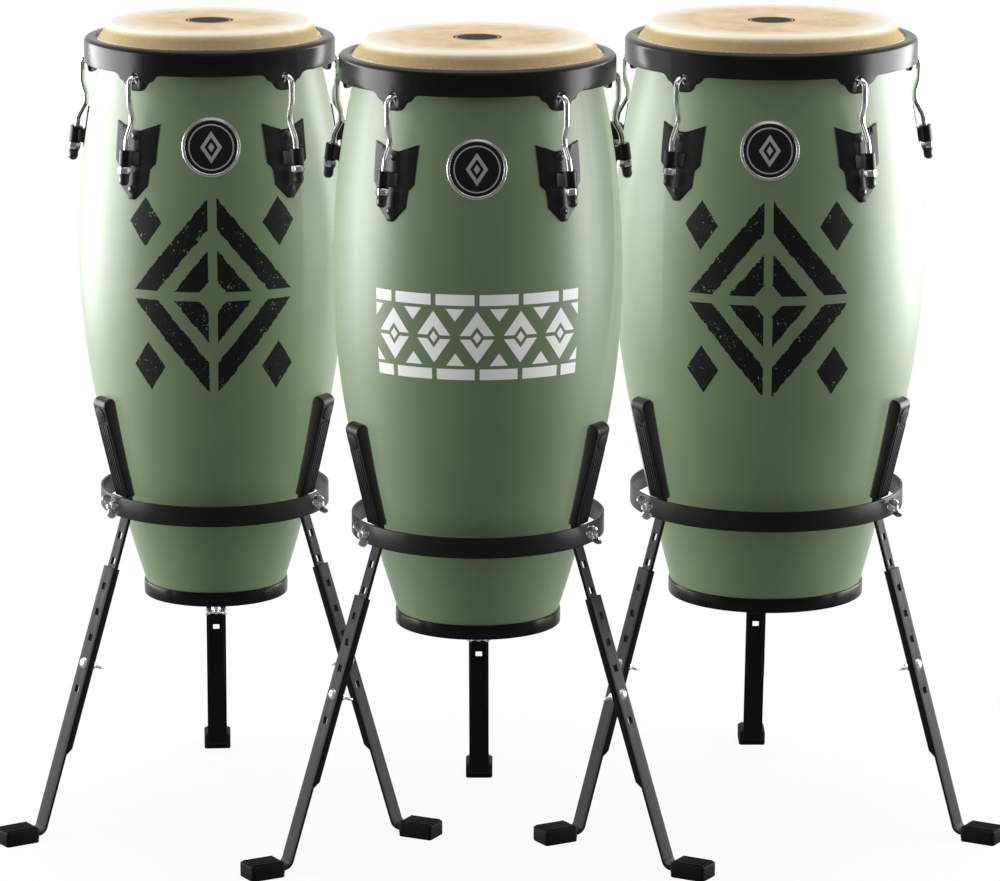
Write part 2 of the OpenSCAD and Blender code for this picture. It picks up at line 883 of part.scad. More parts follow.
module lower_leg(d, k) {
    face = slide_fit + leg_t;
    turn = 90 - lean[d];
    toe_l = foot_start + foot_l - toe_wall - toe_gap;
    color(black)
        at_stand(d)
            facing(leg_az[k])
                down_leg(d)
                    translate([-face, 0, 0])
                        difference() {
                            union() {
                                translate([leg_t / 2, 0, leg_top_s])
                                    carry([
                                        [leg_bend_s[d] - leg_top_s, -turn, leg_bend + leg_t / 2],
                                        [toe_l, 0, 0]
                                    ])
                                        square([leg_t, leg_w], center = true);
                                for (y = [-leg_w / 2, leg_w / 2 - flange_t])
                                    translate([0, y + flange_t, 0])
                                        rotate([90, 0, 0])
                                            linear_extrude(flange_t)
                                                flange_outline();
                            }
                            for (i = [-3:1])
                                translate([-leg_t, -hole_w / 2, bolt_s + i * hole_pitch - hole_w / 2])
                                    cube([3 * leg_t, hole_w, hole_w]);
                        }
}
module leg_bolt(d, k) {
    head_d = 14;
    head_h = 4;
    ball_r = (pow(head_d / 2, 2) + head_h * head_h) / (2 * head_h);
    neck = hole_w - 2 * fit;
    grip = leg_t + slide_fit + bar_t + seat_gap;
    face = slide_fit + leg_t;
    color(steel)
        at_stand(d)
            facing(leg_az[k])
                down_leg(d)
                    translate([-face, 0, bolt_s])
                        rotate([0, 90, 0]) {
                            intersection() {
                                translate([0, 0, ball_r - head_h])
                                    sphere(ball_r);
                                translate([0, 0, -head_h])
                                    cylinder(d = head_d, h = head_h);
                            }
                            translate([-neck / 2, -neck / 2, 0])
                                cube([neck, neck, leg_t]);
                            cylinder(d = bolt_d, h = grip + bolt_out);
                            translate([0, 0, grip])
                                rotate([0, 0, 90])
                                    wing_nut();
                        }
}
module foot(d, k) {
    groove_w = 2;
    groove_t = 1.2;
    color(black)
        at_stand(d)
            facing(leg_az[k])
                translate([foot_r[d] + foot_start, -foot_w / 2, 0])
                    difference() {
                        rounded_box([foot_l, foot_w, foot_h], foot_round);
                        translate([-1, (foot_w - leg_w) / 2 - fit, leg_low - fit])
                            cube([foot_l - toe_wall + fit, leg_w + 2 * fit, leg_t + 2 * fit]);
                        for (i = [1:4])
                            translate([-1, i * foot_w / 5 - groove_w / 2, foot_h - groove_t])
                                cube([foot_l + 2, groove_w, 2 * groove_t]);
                    }
}

shell(0);  // left_shell
bottom_ring(0);  // left_bottom_ring
head(0);  // left_head
flesh_hoop(0);  // left_flesh_hoop
rim(0);  // left_rim
tension_hooks(0);  // left_tension_hooks
lug_plates(0);  // left_lug_plates
lug_screws(0);  // left_lug_screws
tuning_nuts(0);  // left_tuning_nuts
basket_ring(0);  // left_basket_ring
shell(1);  // center_shell
bottom_ring(1);  // center_bottom_ring
head(1);  // center_head
flesh_hoop(1);  // center_flesh_hoop
rim(1);  // center_rim
tension_hooks(1);  // center_tension_hooks
lug_plates(1);  // center_lug_plates
lug_screws(1);  // center_lug_screws
tuning_nuts(1);  // center_tuning_nuts
basket_ring(1);  // center_basket_ring
shell(2);  // right_shell
bottom_ring(2);  // right_bottom_ring
head(2);  // right_head
flesh_hoop(2);  // right_flesh_hoop
rim(2);  // right_rim
tension_hooks(2);  // right_tension_hooks
lug_plates(2);  // right_lug_plates
lug_screws(2);  // right_lug_screws
tuning_nuts(2);  // right_tuning_nuts
basket_ring(2);  // right_basket_ring
upper_legs();
cradle_pads();
ring_fasteners();
lower_leg(0, 0);  // left_leg_a
lower_leg(0, 1);  // left_leg_b
lower_leg(0, 2);  // left_leg_c
foot(0, 0);  // left_foot_a
foot(0, 1);  // left_foot_b
foot(0, 2);  // left_foot_c
leg_bolt(0, 0);  // left_leg_bolt_a
leg_bolt(0, 1);  // left_leg_bolt_b
leg_bolt(0, 2);  // left_leg_bolt_c
lower_leg(1, 0);  // center_leg_a
lower_leg(1, 1);  // center_leg_b
lower_leg(1, 2);  // center_leg_c
foot(1, 0);  // center_foot_a
foot(1, 1);  // center_foot_b
foot(1, 2);  // center_foot_c
leg_bolt(1, 0);  // center_leg_bolt_a
leg_bolt(1, 1);  // center_leg_bolt_b
leg_bolt(1, 2);  // center_leg_bolt_c
lower_leg(2, 0);  // right_leg_a
lower_leg(2, 1);  // right_leg_b
lower_leg(2, 2);  // right_leg_c
foot(2, 0);  // right_foot_a
foot(2, 1);  // right_foot_b
foot(2, 2);  // right_foot_c
leg_bolt(2, 0);  // right_leg_bolt_a
leg_bolt(2, 1);  // right_leg_bolt_b
leg_bolt(2, 2);  // right_leg_bolt_c
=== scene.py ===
import bpy
import bmesh
from math import asin, atan, atan2, cos, hypot, pi, radians, sin, sqrt, tan
from mathutils import Matrix, Vector


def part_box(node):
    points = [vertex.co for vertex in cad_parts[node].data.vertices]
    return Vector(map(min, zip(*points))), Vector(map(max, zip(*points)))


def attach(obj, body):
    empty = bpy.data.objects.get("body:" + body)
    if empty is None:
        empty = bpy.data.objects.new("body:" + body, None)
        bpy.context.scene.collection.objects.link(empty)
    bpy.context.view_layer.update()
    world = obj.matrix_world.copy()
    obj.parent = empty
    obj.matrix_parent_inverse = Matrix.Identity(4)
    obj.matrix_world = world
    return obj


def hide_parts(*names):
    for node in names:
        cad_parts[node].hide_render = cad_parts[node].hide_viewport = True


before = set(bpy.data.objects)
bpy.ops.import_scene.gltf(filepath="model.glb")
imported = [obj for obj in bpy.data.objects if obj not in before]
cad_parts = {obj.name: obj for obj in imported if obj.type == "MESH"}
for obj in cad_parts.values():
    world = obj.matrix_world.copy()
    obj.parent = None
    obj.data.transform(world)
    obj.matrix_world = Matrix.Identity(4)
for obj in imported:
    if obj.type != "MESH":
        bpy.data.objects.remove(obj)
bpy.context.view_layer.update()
print("frame loaded,", len(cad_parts), "solids")

mm = 0.001      # pieces are drawn in millimetres and scaled as they are placed
legTurns = {"a": -60, "b": 60, "c": 180}
hookTurns = [36 + 72 * k for k in range(5)]


# sums on these values become Math nodes
class Value:
    def __init__(self, finish, socket):
        self.finish = finish
        self.socket = socket

    def math(self, kind, a, b=None, c=None):
        links = {i: x for i, x in enumerate((a, b, c)) if x is not None}
        return self.finish.node("ShaderNodeMath", {"operation": kind}, links)

    def __add__(self, other):
        return self.math("ADD", self, other)

    def __radd__(self, other):
        return self.math("ADD", other, self)

    def __sub__(self, other):
        return self.math("SUBTRACT", self, other)

    def __rsub__(self, other):
        return self.math("SUBTRACT", other, self)

    def __mul__(self, other):
        return self.math("MULTIPLY", self, other)

    def __rmul__(self, other):
        return self.math("MULTIPLY", other, self)

    def __truediv__(self, other):
        return self.math("DIVIDE", self, other)

    def __rtruediv__(self, other):
        return self.math("DIVIDE", other, self)

    def __abs__(self):
        return self.math("ABSOLUTE", self)

    def __lt__(self, other):
        return self.math("LESS_THAN", self, other)

    def __gt__(self, other):
        return self.math("GREATER_THAN", self, other)

    def larger(self, other):
        return self.math("MAXIMUM", self, other)

    def fract(self):
        return self.math("FRACT", self)

    def floor(self):
        return self.math("FLOOR", self)

    def sine(self):
        return self.math("SINE", self)

    def root(self):
        return self.math("SQRT", self)

    def bearing(self, other):
        return self.math("ARCTAN2", self, other)

    def step(self, low, high):      # 0 below low, 1 above high, smooth between
        return self.finish.node("ShaderNodeMapRange", {"interpolation_type": "SMOOTHSTEP"},
                                {"Value": self, "From Min": low, "From Max": high})


class Finish:
    def __init__(self, name, world=None):
        self.mat = world or bpy.data.materials.new(name)
        self.mat.use_nodes = True
        self.tree = self.mat.node_tree
        self.shader = self.tree.nodes["Background" if world else "Principled BSDF"]

    def put(self, socket, value):
        if isinstance(value, Value):
            self.tree.links.new(value.socket, socket)
        else:
            socket.default_value = value

    def node(self, kind, settings=None, links=None, out=0):
        made = self.tree.nodes.new(kind)
        for key, value in (settings or {}).items():
            if key == "stops":
                ramp = made.color_ramp.elements
                while len(ramp) < len(value):
                    ramp.new(0.5)
                for element, (place, colour) in zip(ramp, value):
                    element.position = place
                    element.color = colour
            else:
                setattr(made, key, value)
        for key, value in (links or {}).items():
            self.put(made.inputs[key], value)
        return Value(self, made.outputs[out])

    def mix(self, share, a, b, blend="MIX"):
        return self.node("ShaderNodeMix", {"data_type": "RGBA", "blend_type": blend},
                         {0: share, 6: a, 7: b}, 2)

    def place(self):
        return self.node("ShaderNodeTexCoord", out="Object")

    def ray(self, kind):
        return self.node("ShaderNodeLightPath", out="Is " + kind + " Ray")

    def around(self, axis, turn=0.0):      # coordinates of a drum: its own axis at x = y = 0
        return self.node("ShaderNodeMapping", {"vector_type": "TEXTURE"},
                         {"Vector": self.place(), "Location": axis, "Rotation": (0, 0, radians(turn))})

    def parts(self, vector):
        split = self.tree.nodes.new("ShaderNodeSeparateXYZ")
        self.put(split.inputs[0], vector)
        return [Value(self, s) for s in split.outputs]

    def stretch(self, vector, scale):
        return self.node("ShaderNodeMapping", None, {"Vector": vector, "Scale": scale})

    def noise(self, vector, scale, detail=3.0, rough=0.55, warp=0.0):
        return self.node("ShaderNodeTexNoise", None,
                         {"Vector": vector, "Scale": scale, "Detail": detail, "Roughness": rough,
                          "Distortion": warp})

    def bump(self, height, strength, distance):
        normal = self.node("ShaderNodeBump", None,
                           {"Height": height, "Strength": strength, "Distance": distance})
        self.put(self.shader.inputs["Normal"], normal)

    def wear(self, **sockets):      # plain numbers or varying values on the shader's own sockets
        for key, value in sockets.items():
            self.put(self.shader.inputs[key.replace("_", " ")], value)
        return self


# finishes
lacquerLook = {"green": (0.138, 0.196, 0.100, 1), "deep": (0.119, 0.172, 0.085, 1), "rough": 0.50,
               "coat": 0.96, "coatRough": 0.43, "ink": (0.006, 0.006, 0.007, 1),
               "white": (0.84, 0.85, 0.83, 1)}


# sizes in millimetres, ringIn and the two middle values as shares of the big diamond
diamonds = {"wide": 104, "high": 126, "ringIn": 0.70, "middleOut": 0.50, "middleIn": 0.20, "bridge": 5.5,
            "crossW": 16, "crossH": 20, "cornerX": 84, "cornerY": 88, "cornerW": 22, "cornerH": 30,
            "ragged": 0.09, "wornAndHighlight": 0.97}


def diamondStencil(f, u, v, grain):
    # black stencil of nested diamonds with bridges and chipped edges
    s = diamonds
    edge = (f.noise(grain, 130, 4, 0.65) - 0.5) * s["ragged"]
    big = abs(u) / s["wide"] + abs(v) / s["high"] + edge
    ring = (big < 1.0) * (big > s["ringIn"])
    middle = (big < s["middleOut"]) * (big > s["middleIn"])
    upright = (abs(u) > s["bridge"]).larger(abs(v) < s["crossH"])
    level = (abs(v) > s["bridge"]).larger(abs(u) < s["crossW"])
    bridge = upright * level
    corner = abs(abs(u) - s["cornerX"]) / s["cornerW"] + abs(abs(v) - s["cornerY"]) / s["cornerH"] + edge * 2
    mask = (ring * bridge).larger(middle * bridge).larger(corner < 1.0)
    flecks = f.noise(grain, 420, 2, 0.5) + f.noise(grain, 60, 2, 0.5) * 0.5
    return mask * (flecks < s["wornAndHighlight"])


frieze = {"half": 130, "cell": 52, "wide": 22, "high": 31, "hollow": 0.42, "heart": 0.22, "barLow": 38,
          "barHigh": 51, "barGap": 3.0, "wedgeZ": 34, "wedgeW": 11, "wedgeH": 15, "bridge": 2.2}


def friezeStencil(f, u, v, grain):
    # white stencil band: a row of lozenges between two broken bars
    s = frieze
    cell = ((u + s["half"]) / s["cell"]).fract() * s["cell"] - s["cell"] / 2
    inside = abs(u) < s["half"]
    lozenge = abs(cell) / s["wide"] + abs(v) / s["high"]
    row = (lozenge < 1.0) * (lozenge > s["hollow"])
    heart = lozenge < s["heart"]
    bars = (abs(v) > s["barLow"]) * (abs(v) < s["barHigh"]) * (abs(cell) > s["barGap"])
    tooth = abs(abs(cell) - s["cell"] / 2) / s["wedgeW"] + abs(abs(v) - s["wedgeZ"]) / s["wedgeH"]
    wedge = (tooth < 1.0) * (abs(v) < s["wedgeZ"])
    bridge = abs(v) > s["bridge"]
    return inside * (row * bridge).larger(heart).larger(bars).larger(wedge)


def shellFinish(name, drum):
    look = lacquerLook
    f = Finish(name + "_lacquer")
    p = f.around(drum["axis"], drum["turn"])
    x, y, z = f.parts(p)
    u = x.bearing(-1 * y) * drum["bellyR"]
    v = z * 1000 - drum["artZ"]
    cloud = f.noise(p, 7, 4, 0.6)
    speck = f.noise(p, 900, 2, 0.5)
    green = f.mix(cloud.step(0.3, 0.7), look["deep"], look["green"])
    if name == "center":
        mask = friezeStencil(f, u, v, p)
        colour = f.mix(mask, green, look["white"])
    else:
        mask = diamondStencil(f, u, v, p)
        colour = f.mix(mask, green, look["ink"])
    scuff = f.noise(f.stretch(p, (1, 1, 0.25)), 55, 5, 0.7).step(0.62, 0.8)
    f.bump(speck * 0.6 + mask * 0.8 + f.noise(p, 160, 2, 0.5) * 0.8, 0.12, 0.0004)
    return f.wear(Base_Color=colour, Roughness=look["rough"] + 0.06 * scuff + 0.05 * mask - 0.04 * cloud,
                  Coat_Weight=look["coat"] * (1 - 0.9 * mask), Coat_Roughness=look["coatRough"],
                  Specular_IOR_Level=0.12)


def woodFinish(name, drum):
    # bare staves on the inside
    f = Finish(name + "_bare_wood")
    p = f.around(drum["axis"], drum["turn"])
    x, y, z = f.parts(p)
    stave = y.bearing(x) * (20 / (2 * pi))
    gap = abs(stave.fract() - 0.5).step(0.48, 0.497)
    tone = ((stave.floor() * 12.9898).sine() * 43.7).fract()
    grain = f.noise(f.stretch(p, (1, 1, 0.06)), 240, 6, 0.6, 0.4)
    light = f.mix(grain, (0.36, 0.21, 0.10, 1), (0.58, 0.38, 0.20, 1))
    shade = f.mix(tone * 0.35, light, (0.30, 0.17, 0.08, 1))
    f.bump(grain * 0.5 - gap, 0.35, 0.0008)
    return f.wear(Base_Color=f.mix(gap, shade, (0.10, 0.06, 0.03, 1)), Roughness=0.62 + 0.15 * grain)


# the near-white edge colour is partly the stretched hide's own paleness and partly a painted highlight on
# the shoulder
hideLook = {"dark": (0.60, 0.42, 0.235, 1), "light": (0.77, 0.59, 0.38, 1), "fibre": (0.83, 0.68, 0.47, 1),
            "vein": (0.42, 0.26, 0.13, 1), "paleHideAndHighlight": (0.94, 0.89, 0.78, 1), "wallDark": (0.24, 0.18, 0.08, 1),
            "wallLight": (0.40, 0.31, 0.16, 1), "ink": (0.012, 0.011, 0.010, 1), "stampR": 29,
            "stampLineR": 25.5, "stampLineW": 0.7, "stampZ": 0.705}


def skinFinish(name, drum):
    look, head = hideLook, drum["headR"]
    f = Finish(name + "_hide")
    p = f.around(drum["axis"], drum["turn"])
    x, y, z = f.parts(p)
    radius = (x * x + y * y).root() * 1000
    blotch = f.noise(p, 16, 5, 0.62, 0.8)
    fibre = f.noise(f.stretch(p, (1, 0.35, 1)), 260, 5, 0.65, 0.6)
    pores = f.noise(p, 1400, 2, 0.5)
    vein = abs(f.noise(p, 22, 3, 0.5, 1.2) - 0.5)
    hide = f.mix(blotch.step(0.32, 0.68), look["dark"], look["light"])
    hide = f.mix(fibre * 0.45, hide, look["fibre"])
    hide = f.mix(0.16 * (1 - vein.step(0.0, 0.035)), hide, look["vein"])
    # a paler band toward the rounded edge: the hide's own paler stretched colour together with a painted
    # highlight along the shoulder; darker on the wall below
    wornAndHighlight = radius.step(head - 56, head - 5) * (1 - radius.step(head - 4, head - 1))
    hide = f.mix(wornAndHighlight * 0.8, hide, look["paleHideAndHighlight"])
    wall = f.mix(fibre, look["wallDark"], look["wallLight"])
    hide = f.mix(radius.step(head - 3, head + 1) * 0.9, hide, wall)
    stamp = (radius + (f.noise(p, 500, 2) - 0.5) * 0.6 < look["stampR"]) * (z > look["stampZ"])
    ink = stamp * (1 - (abs(radius - look["stampLineR"]) < look["stampLineW"]))
    f.bump(fibre * 0.5 + pores * 0.3 + blotch, 0.22, 0.0006)
    return f.wear(Base_Color=f.mix(ink * 0.985, hide, look["ink"]),
                  Roughness=0.62 + 0.12 * fibre - 0.1 * ink, Specular_IOR_Level=0.04,
                  Subsurface_Weight=0.06, Subsurface_Radius=(0.01, 0.006, 0.003))


def collarFinish():
    f = Finish("trimmed_hide")
    p = f.place()
    strand = f.noise(f.stretch(p, (1, 1, 0.4)), 420, 4, 0.6)
    f.bump(strand, 0.4, 0.0008)
    return f.wear(Base_Color=f.mix(strand.step(0.3, 0.7), (0.27, 0.21, 0.14, 1), (0.46, 0.40, 0.31, 1)),
                  Roughness=0.7 + 0.1 * strand)


def blackFinish(name, tone, rough, grainScale, bumpDepth, scuffTone, shine=0.5):
    # black coat or rubber: a fine grain, faint scuffs and uneven gloss
    f = Finish(name)
    p = f.place()
    grain = f.noise(p, grainScale, 3, 0.6)
    cloud = f.noise(p, 14, 4, 0.6)
    scuff = f.noise(p, 70, 6, 0.72).step(0.60, 0.82)
    base = f.mix(0.5 * cloud, (tone, tone, tone * 1.06, 1), (tone * 1.5, tone * 1.5, tone * 1.6, 1))
    f.bump(grain, 0.25, bumpDepth)
    return f.wear(Base_Color=f.mix(0.35 * scuff, base, (scuffTone, scuffTone, scuffTone, 1)),
                  Roughness=rough + 0.10 * (cloud - 0.5) + 0.10 * scuff, Specular_IOR_Level=shine)


def brightFinish(name, tone, rough, streak):
    # plated or plain steel with drawn streaks and finger marks
    f = Finish(name)
    p = f.place()
    drawn = f.noise(f.stretch(p, (1, 1, streak)), 700, 3, 0.6)
    smear = f.noise(p, 45, 4, 0.65).step(0.45, 0.75)
    f.bump(drawn, 0.08, 0.0002)
    clean, dull = (tone, tone, tone * 1.01, 1), (tone * 0.82, tone * 0.80, tone * 0.77, 1)
    return f.wear(Base_Color=f.mix(0.3 * smear, clean, dull), Metallic=1.0,
                  Roughness=rough + 0.10 * smear + 0.05 * drawn)


coatBlack = blackFinish("satin_black_coat", 0.005, 0.25, 1500, 0.0001, 0.014, 0.19)
legBlack = blackFinish("matt_black_coat", 0.007, 0.44, 1500, 0.0002, 0.016, 0.045)
bandBlack = blackFinish("black_band_coat", 0.008, 0.36, 1500, 0.0001, 0.018, 0.13)
glossBlack = blackFinish("gloss_black_ring", 0.0035, 0.26, 900, 0.0001, 0.006, 0.14)
padRubber = blackFinish("ribbed_rubber", 0.005, 0.40, 1100, 0.0001, 0.012, 0.22)
rubberBlack = blackFinish("black_rubber", 0.005, 0.60, 1100, 0.0002, 0.012, 0.05)
capBlack = blackFinish("black_cap", 0.008, 0.28, 1600, 0.0002, 0.03)
chromeBright = brightFinish("bright_plating", 0.86, 0.10, 0.2)
zincDull = brightFinish("zinc_plate", 0.86, 0.30, 1.0)
nickelDark = brightFinish("nickel_plate", 0.66, 0.24, 1.0)
badgeSilver = brightFinish("badge_silver", 0.72, 0.24, 1.0)
hoopSteel = brightFinish("plain_wire", 0.52, 0.32, 1.0)
collarHide = collarFinish()

# the three drums: sizes in millimetres, places from the solids
drumSizes = {
    "left": {"headR": 127.0, "bellyR": 162.0, "bottomR": 80.5, "turn": 3.4,
             "standTurn": 3.4, "lean": 18.0, "artZ": 400},
    "center": {"headR": 139.7, "bellyR": 173.0, "bottomR": 91.5, "turn": 0.0,
               "standTurn": 0.0, "lean": 18.0, "artZ": 382},
    "right": {"headR": 152.4, "bellyR": 189.5, "bottomR": 113.0, "turn": -3.1,
              "standTurn": 0.0, "lean": 16.5, "artZ": 400},
}
barrel = {"height": 711.0, "bellyZ": 432.0, "waistZ": 262.0, "edgeZ": 705.0, "edgeIn": 4.0, "wall": 10.0,
          "ringH": 17.4, "ringT": 3.5, "ringIn": 1.5, "gap": 0.3, "crownZ": 702.0, "crownR": 5.0,
          "rings": 64, "steps": 160}

for name, d in drumSizes.items():
    low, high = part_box(name + "_shell")
    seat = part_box(name + "_bottom_ring")[0].z
    d["axis"] = ((low.x + high.x) / 2, (low.y + high.y) / 2, seat)
    d["seat"] = seat / mm
    turn = Matrix.Rotation(radians(d["turn"]), 4, "Z")
    d["place"] = Matrix.Translation(d["axis"]) @ turn @ Matrix.Scale(mm, 4)
    turn = Matrix.Rotation(radians(d["standTurn"]), 4, "Z")
    d["stand"] = Matrix.Translation((d["axis"][0], d["axis"][1], 0)) @ turn @ Matrix.Scale(mm, 4)
    # belly arc and the flatter arc below it, as in the part's source
    swell = d["bellyR"] - d["headR"] + barrel["edgeIn"]
    d["bellyArc"] = ((barrel["edgeZ"] - barrel["bellyZ"]) ** 2 + swell ** 2) / (2 * swell)
    a = asin((barrel["bellyZ"] - barrel["waistZ"]) / d["bellyArc"])
    waistR = d["bellyR"] - d["bellyArc"] * (1 - cos(a))
    vx, vz = d["bottomR"] - waistR, -barrel["waistZ"]
    d["lowArc"] = -(vx * vx + vz * vz) / (2 * (vx * cos(a) - vz * sin(a)))
    d["lowMid"] = (waistR - d["lowArc"] * cos(a), barrel["waistZ"] + d["lowArc"] * sin(a))


def shellR(d, z):
    if z > barrel["waistZ"]:
        return d["bellyR"] - d["bellyArc"] + sqrt(d["bellyArc"] ** 2 - (z - barrel["bellyZ"]) ** 2)
    return d["lowMid"][0] + sqrt(d["lowArc"] ** 2 - (d["lowMid"][1] - z) ** 2)


def facing(az):      # +X points away from the axis, az counted from the front
    return Matrix.Rotation(radians(az - 90), 4, "Z")


def vertsOf(geom):
    return [g for g in geom if isinstance(g, bmesh.types.BMVert)]


def edgesOf(geom):
    return [g for g in geom if isinstance(g, bmesh.types.BMEdge)]


def moveAll(bm, matrix):
    bmesh.ops.transform(bm, matrix=matrix, verts=bm.verts[:])


def outward(bm):
    bmesh.ops.remove_doubles(bm, verts=bm.verts[:], dist=0.001)
    bmesh.ops.delete(bm, geom=[e for e in bm.edges if not e.link_faces], context="EDGES")
    bmesh.ops.recalc_face_normals(bm, faces=bm.faces[:])
    if bm.calc_volume(signed=True) < 0:
        bmesh.ops.reverse_faces(bm, faces=bm.faces[:])


def soften(bm, width, segments=2, angle=30):
    sharp = [e for e in bm.edges if len(e.link_faces) == 2 and e.calc_face_angle(0) > radians(angle)]
    bmesh.ops.bevel(bm, geom=sharp, offset=width, offset_type="OFFSET", segments=segments, profile=0.5,
                    affect="EDGES", material=-1, clamp_overlap=True)


def cutAcross(bm, point, way):      # every face is split by a plane
    bmesh.ops.bisect_plane(bm, geom=bm.verts[:] + bm.edges[:] + bm.faces[:], dist=0.0001, plane_co=point,
                           plane_no=way)


def loopOf(bm, points):      # a closed wire loop
    verts = [bm.verts.new(p) for p in points]
    return [bm.edges.new(pair) for pair in zip(verts, verts[1:] + verts[:1])]


def turned(bm, points, steps=96, closed=True):      # (radius, height) points spun round Z
    verts = [bm.verts.new((r, 0, z)) for r, z in points]
    edges = [bm.edges.new(pair) for pair in zip(verts, verts[1:])]
    if closed:
        edges.append(bm.edges.new((verts[-1], verts[0])))
    bmesh.ops.spin(bm, geom=verts + edges, cent=(0, 0, 0), axis=(0, 0, 1), angle=2 * pi, steps=steps,
                   use_merge=True)
    outward(bm)


def swept(bm, edges, legs, turnStep=6.0, startZ=0.0):
    # a loop across Z carried up +Z: each leg is (length, turn, radius), a positive turn goes to +X
    at, heading = Vector((0, 0, startZ)), 0.0
    for length, turn, radius in legs:
        if length:
            made = bmesh.ops.extrude_edge_only(bm, edges=edges)["geom"]
            verts = vertsOf(made)
            edges = [e for e in edgesOf(made) if e.verts[0] in verts and e.verts[1] in verts]
            step = Vector((sin(heading), 0, cos(heading))) * length
            bmesh.ops.translate(bm, vec=step, verts=verts)
            at = at + step
        if turn:
            side = 1 if turn > 0 else -1
            middle = at + Vector((cos(heading), 0, -sin(heading))) * (radius * side)
            verts = list({v for e in edges for v in e.verts})
            made = bmesh.ops.spin(bm, geom=verts + edges, cent=middle, axis=(0, 1, 0), angle=radians(turn),
                                  steps=max(3, round(abs(turn) / turnStep)), use_merge=False)
            edges = edgesOf(made["geom_last"])
            at = middle + Matrix.Rotation(radians(turn), 3, "Y") @ (at - middle)
            heading += radians(turn)
    return edges


def capped(bm):
    bmesh.ops.holes_fill(bm, edges=[e for e in bm.edges if e.is_boundary], sides=0)
    outward(bm)


def pierced(bm, spots, reach):      # faces near each spot pair are opened and joined into a hole
    for spot in spots:
        pair = [f for f in bm.faces if (f.calc_center_median() - spot).length < reach]
        if len(pair) == 2:
            rim = [e for f in pair for e in f.edges]
            bmesh.ops.delete(bm, geom=pair, context="FACES_ONLY")
            bmesh.ops.bridge_loops(bm, edges=rim)


def plate(bm, points, thickness, axis):      # a flat outline given depth along axis
    verts = [bm.verts.new(p) for p in points]
    face = bm.faces.new(verts)
    made = bmesh.ops.extrude_face_region(bm, geom=[face])["geom"]
    bmesh.ops.translate(bm, vec=Vector(axis) * thickness, verts=vertsOf(made))
    bmesh.ops.recalc_face_normals(bm, faces=bm.faces[:])


def added(bm, other, matrix=Matrix.Identity(4)):      # other's shape goes into bm, moved by matrix
    held = bpy.data.meshes.new("held")
    bmesh.ops.transform(other, matrix=matrix, verts=other.verts[:])
    other.to_mesh(held)
    other.free()
    bm.from_mesh(held)
    bpy.data.meshes.remove(held)


def repeated(bm, matrices):
    source = bm.verts[:] + bm.edges[:] + bm.faces[:]
    first = vertsOf(source)
    for m in matrices[1:]:
        made = bmesh.ops.duplicate(bm, geom=source)["geom"]
        bmesh.ops.transform(bm, matrix=m, verts=vertsOf(made))
    bmesh.ops.transform(bm, matrix=matrices[0], verts=first)


def makePiece(name, bm, place, finishes, body, nodes=(), sharp=38):
    moveAll(bm, place)
    mesh = bpy.data.meshes.new(name)
    bm.to_mesh(mesh)
    bm.free()
    for f in finishes:
        mesh.materials.append(f.mat)
    mesh.polygons.foreach_set("use_smooth", [True] * len(mesh.polygons))
    mesh.set_sharp_from_angle(angle=radians(sharp))
    piece = bpy.data.objects.new(name, mesh)
    bpy.context.scene.collection.objects.link(piece)
    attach(piece, body)
    if nodes:
        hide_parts(*nodes)
    return piece


def buildShell(name, d):
    wall, gap, crown = barrel["wall"], barrel["gap"], barrel["crownR"]
    low, high = barrel["ringH"] + gap, barrel["crownZ"]
    zs = [low + (high - low) * i / barrel["rings"] for i in range(barrel["rings"] + 1)]
    outer = [(shellR(d, z), z) for z in zs]
    edge = [(shellR(d, high) - crown + crown * cos(a), high + 1 + crown * sin(a))
            for a in [radians(18 * i) for i in range(1, 10)]]
    inner = [(shellR(d, z) - wall, z) for z in reversed(zs)]
    seatR = shellR(d, barrel["ringH"]) - barrel["ringIn"]
    end = [(seatR - wall + 0.4, barrel["ringT"] + gap), (seatR, barrel["ringT"] + gap),
           (seatR, barrel["ringH"] + 0.2)]
    bm = bmesh.new()
    turned(bm, outer + edge + inner + end, barrel["steps"])
    for f in bm.faces:
        mid = f.calc_center_median()
        f.material_index = 1 if hypot(mid.x, mid.y) < shellR(d, mid.z) - 4 else 0
    makePiece(name + "_shell_wood", bm, d["place"], [shellFinish(name, d), woodFinish(name, d)],
              name + "_drum", [name + "_shell"])


def buildLowerRing(name, d):
    seatR = shellR(d, barrel["ringH"]) - barrel["ringIn"]
    out, h, t = seatR + 0.2 + barrel["ringT"], barrel["ringH"], barrel["ringT"]
    bm = bmesh.new()
    turned(bm, [(seatR - barrel["wall"], 0), (out, 0), (out + 0.25, h * 0.5), (out, h), (seatR + 0.2, h),
                (seatR + 0.2, t), (seatR - barrel["wall"], t)], barrel["steps"])
    soften(bm, 1.2, 3, 20)
    makePiece(name + "_lower_ring", bm, d["place"], [glossBlack], name + "_drum", [name + "_bottom_ring"])


skin = {"thick": 2.0, "shoulder": 8.0, "out": 3.3, "hoop": 4.0, "gap": 0.1, "rimReach": 25.0, "rimT": 4.0,
        "seatGap": 0.3, "rise": 18.0}


def hoopMid(d):
    back = skin["rimT"] + skin["seatGap"] + skin["hoop"] + skin["gap"] + skin["thick"]
    return d["headR"] + skin["rimReach"] - back, barrel["height"] - skin["rise"] - back


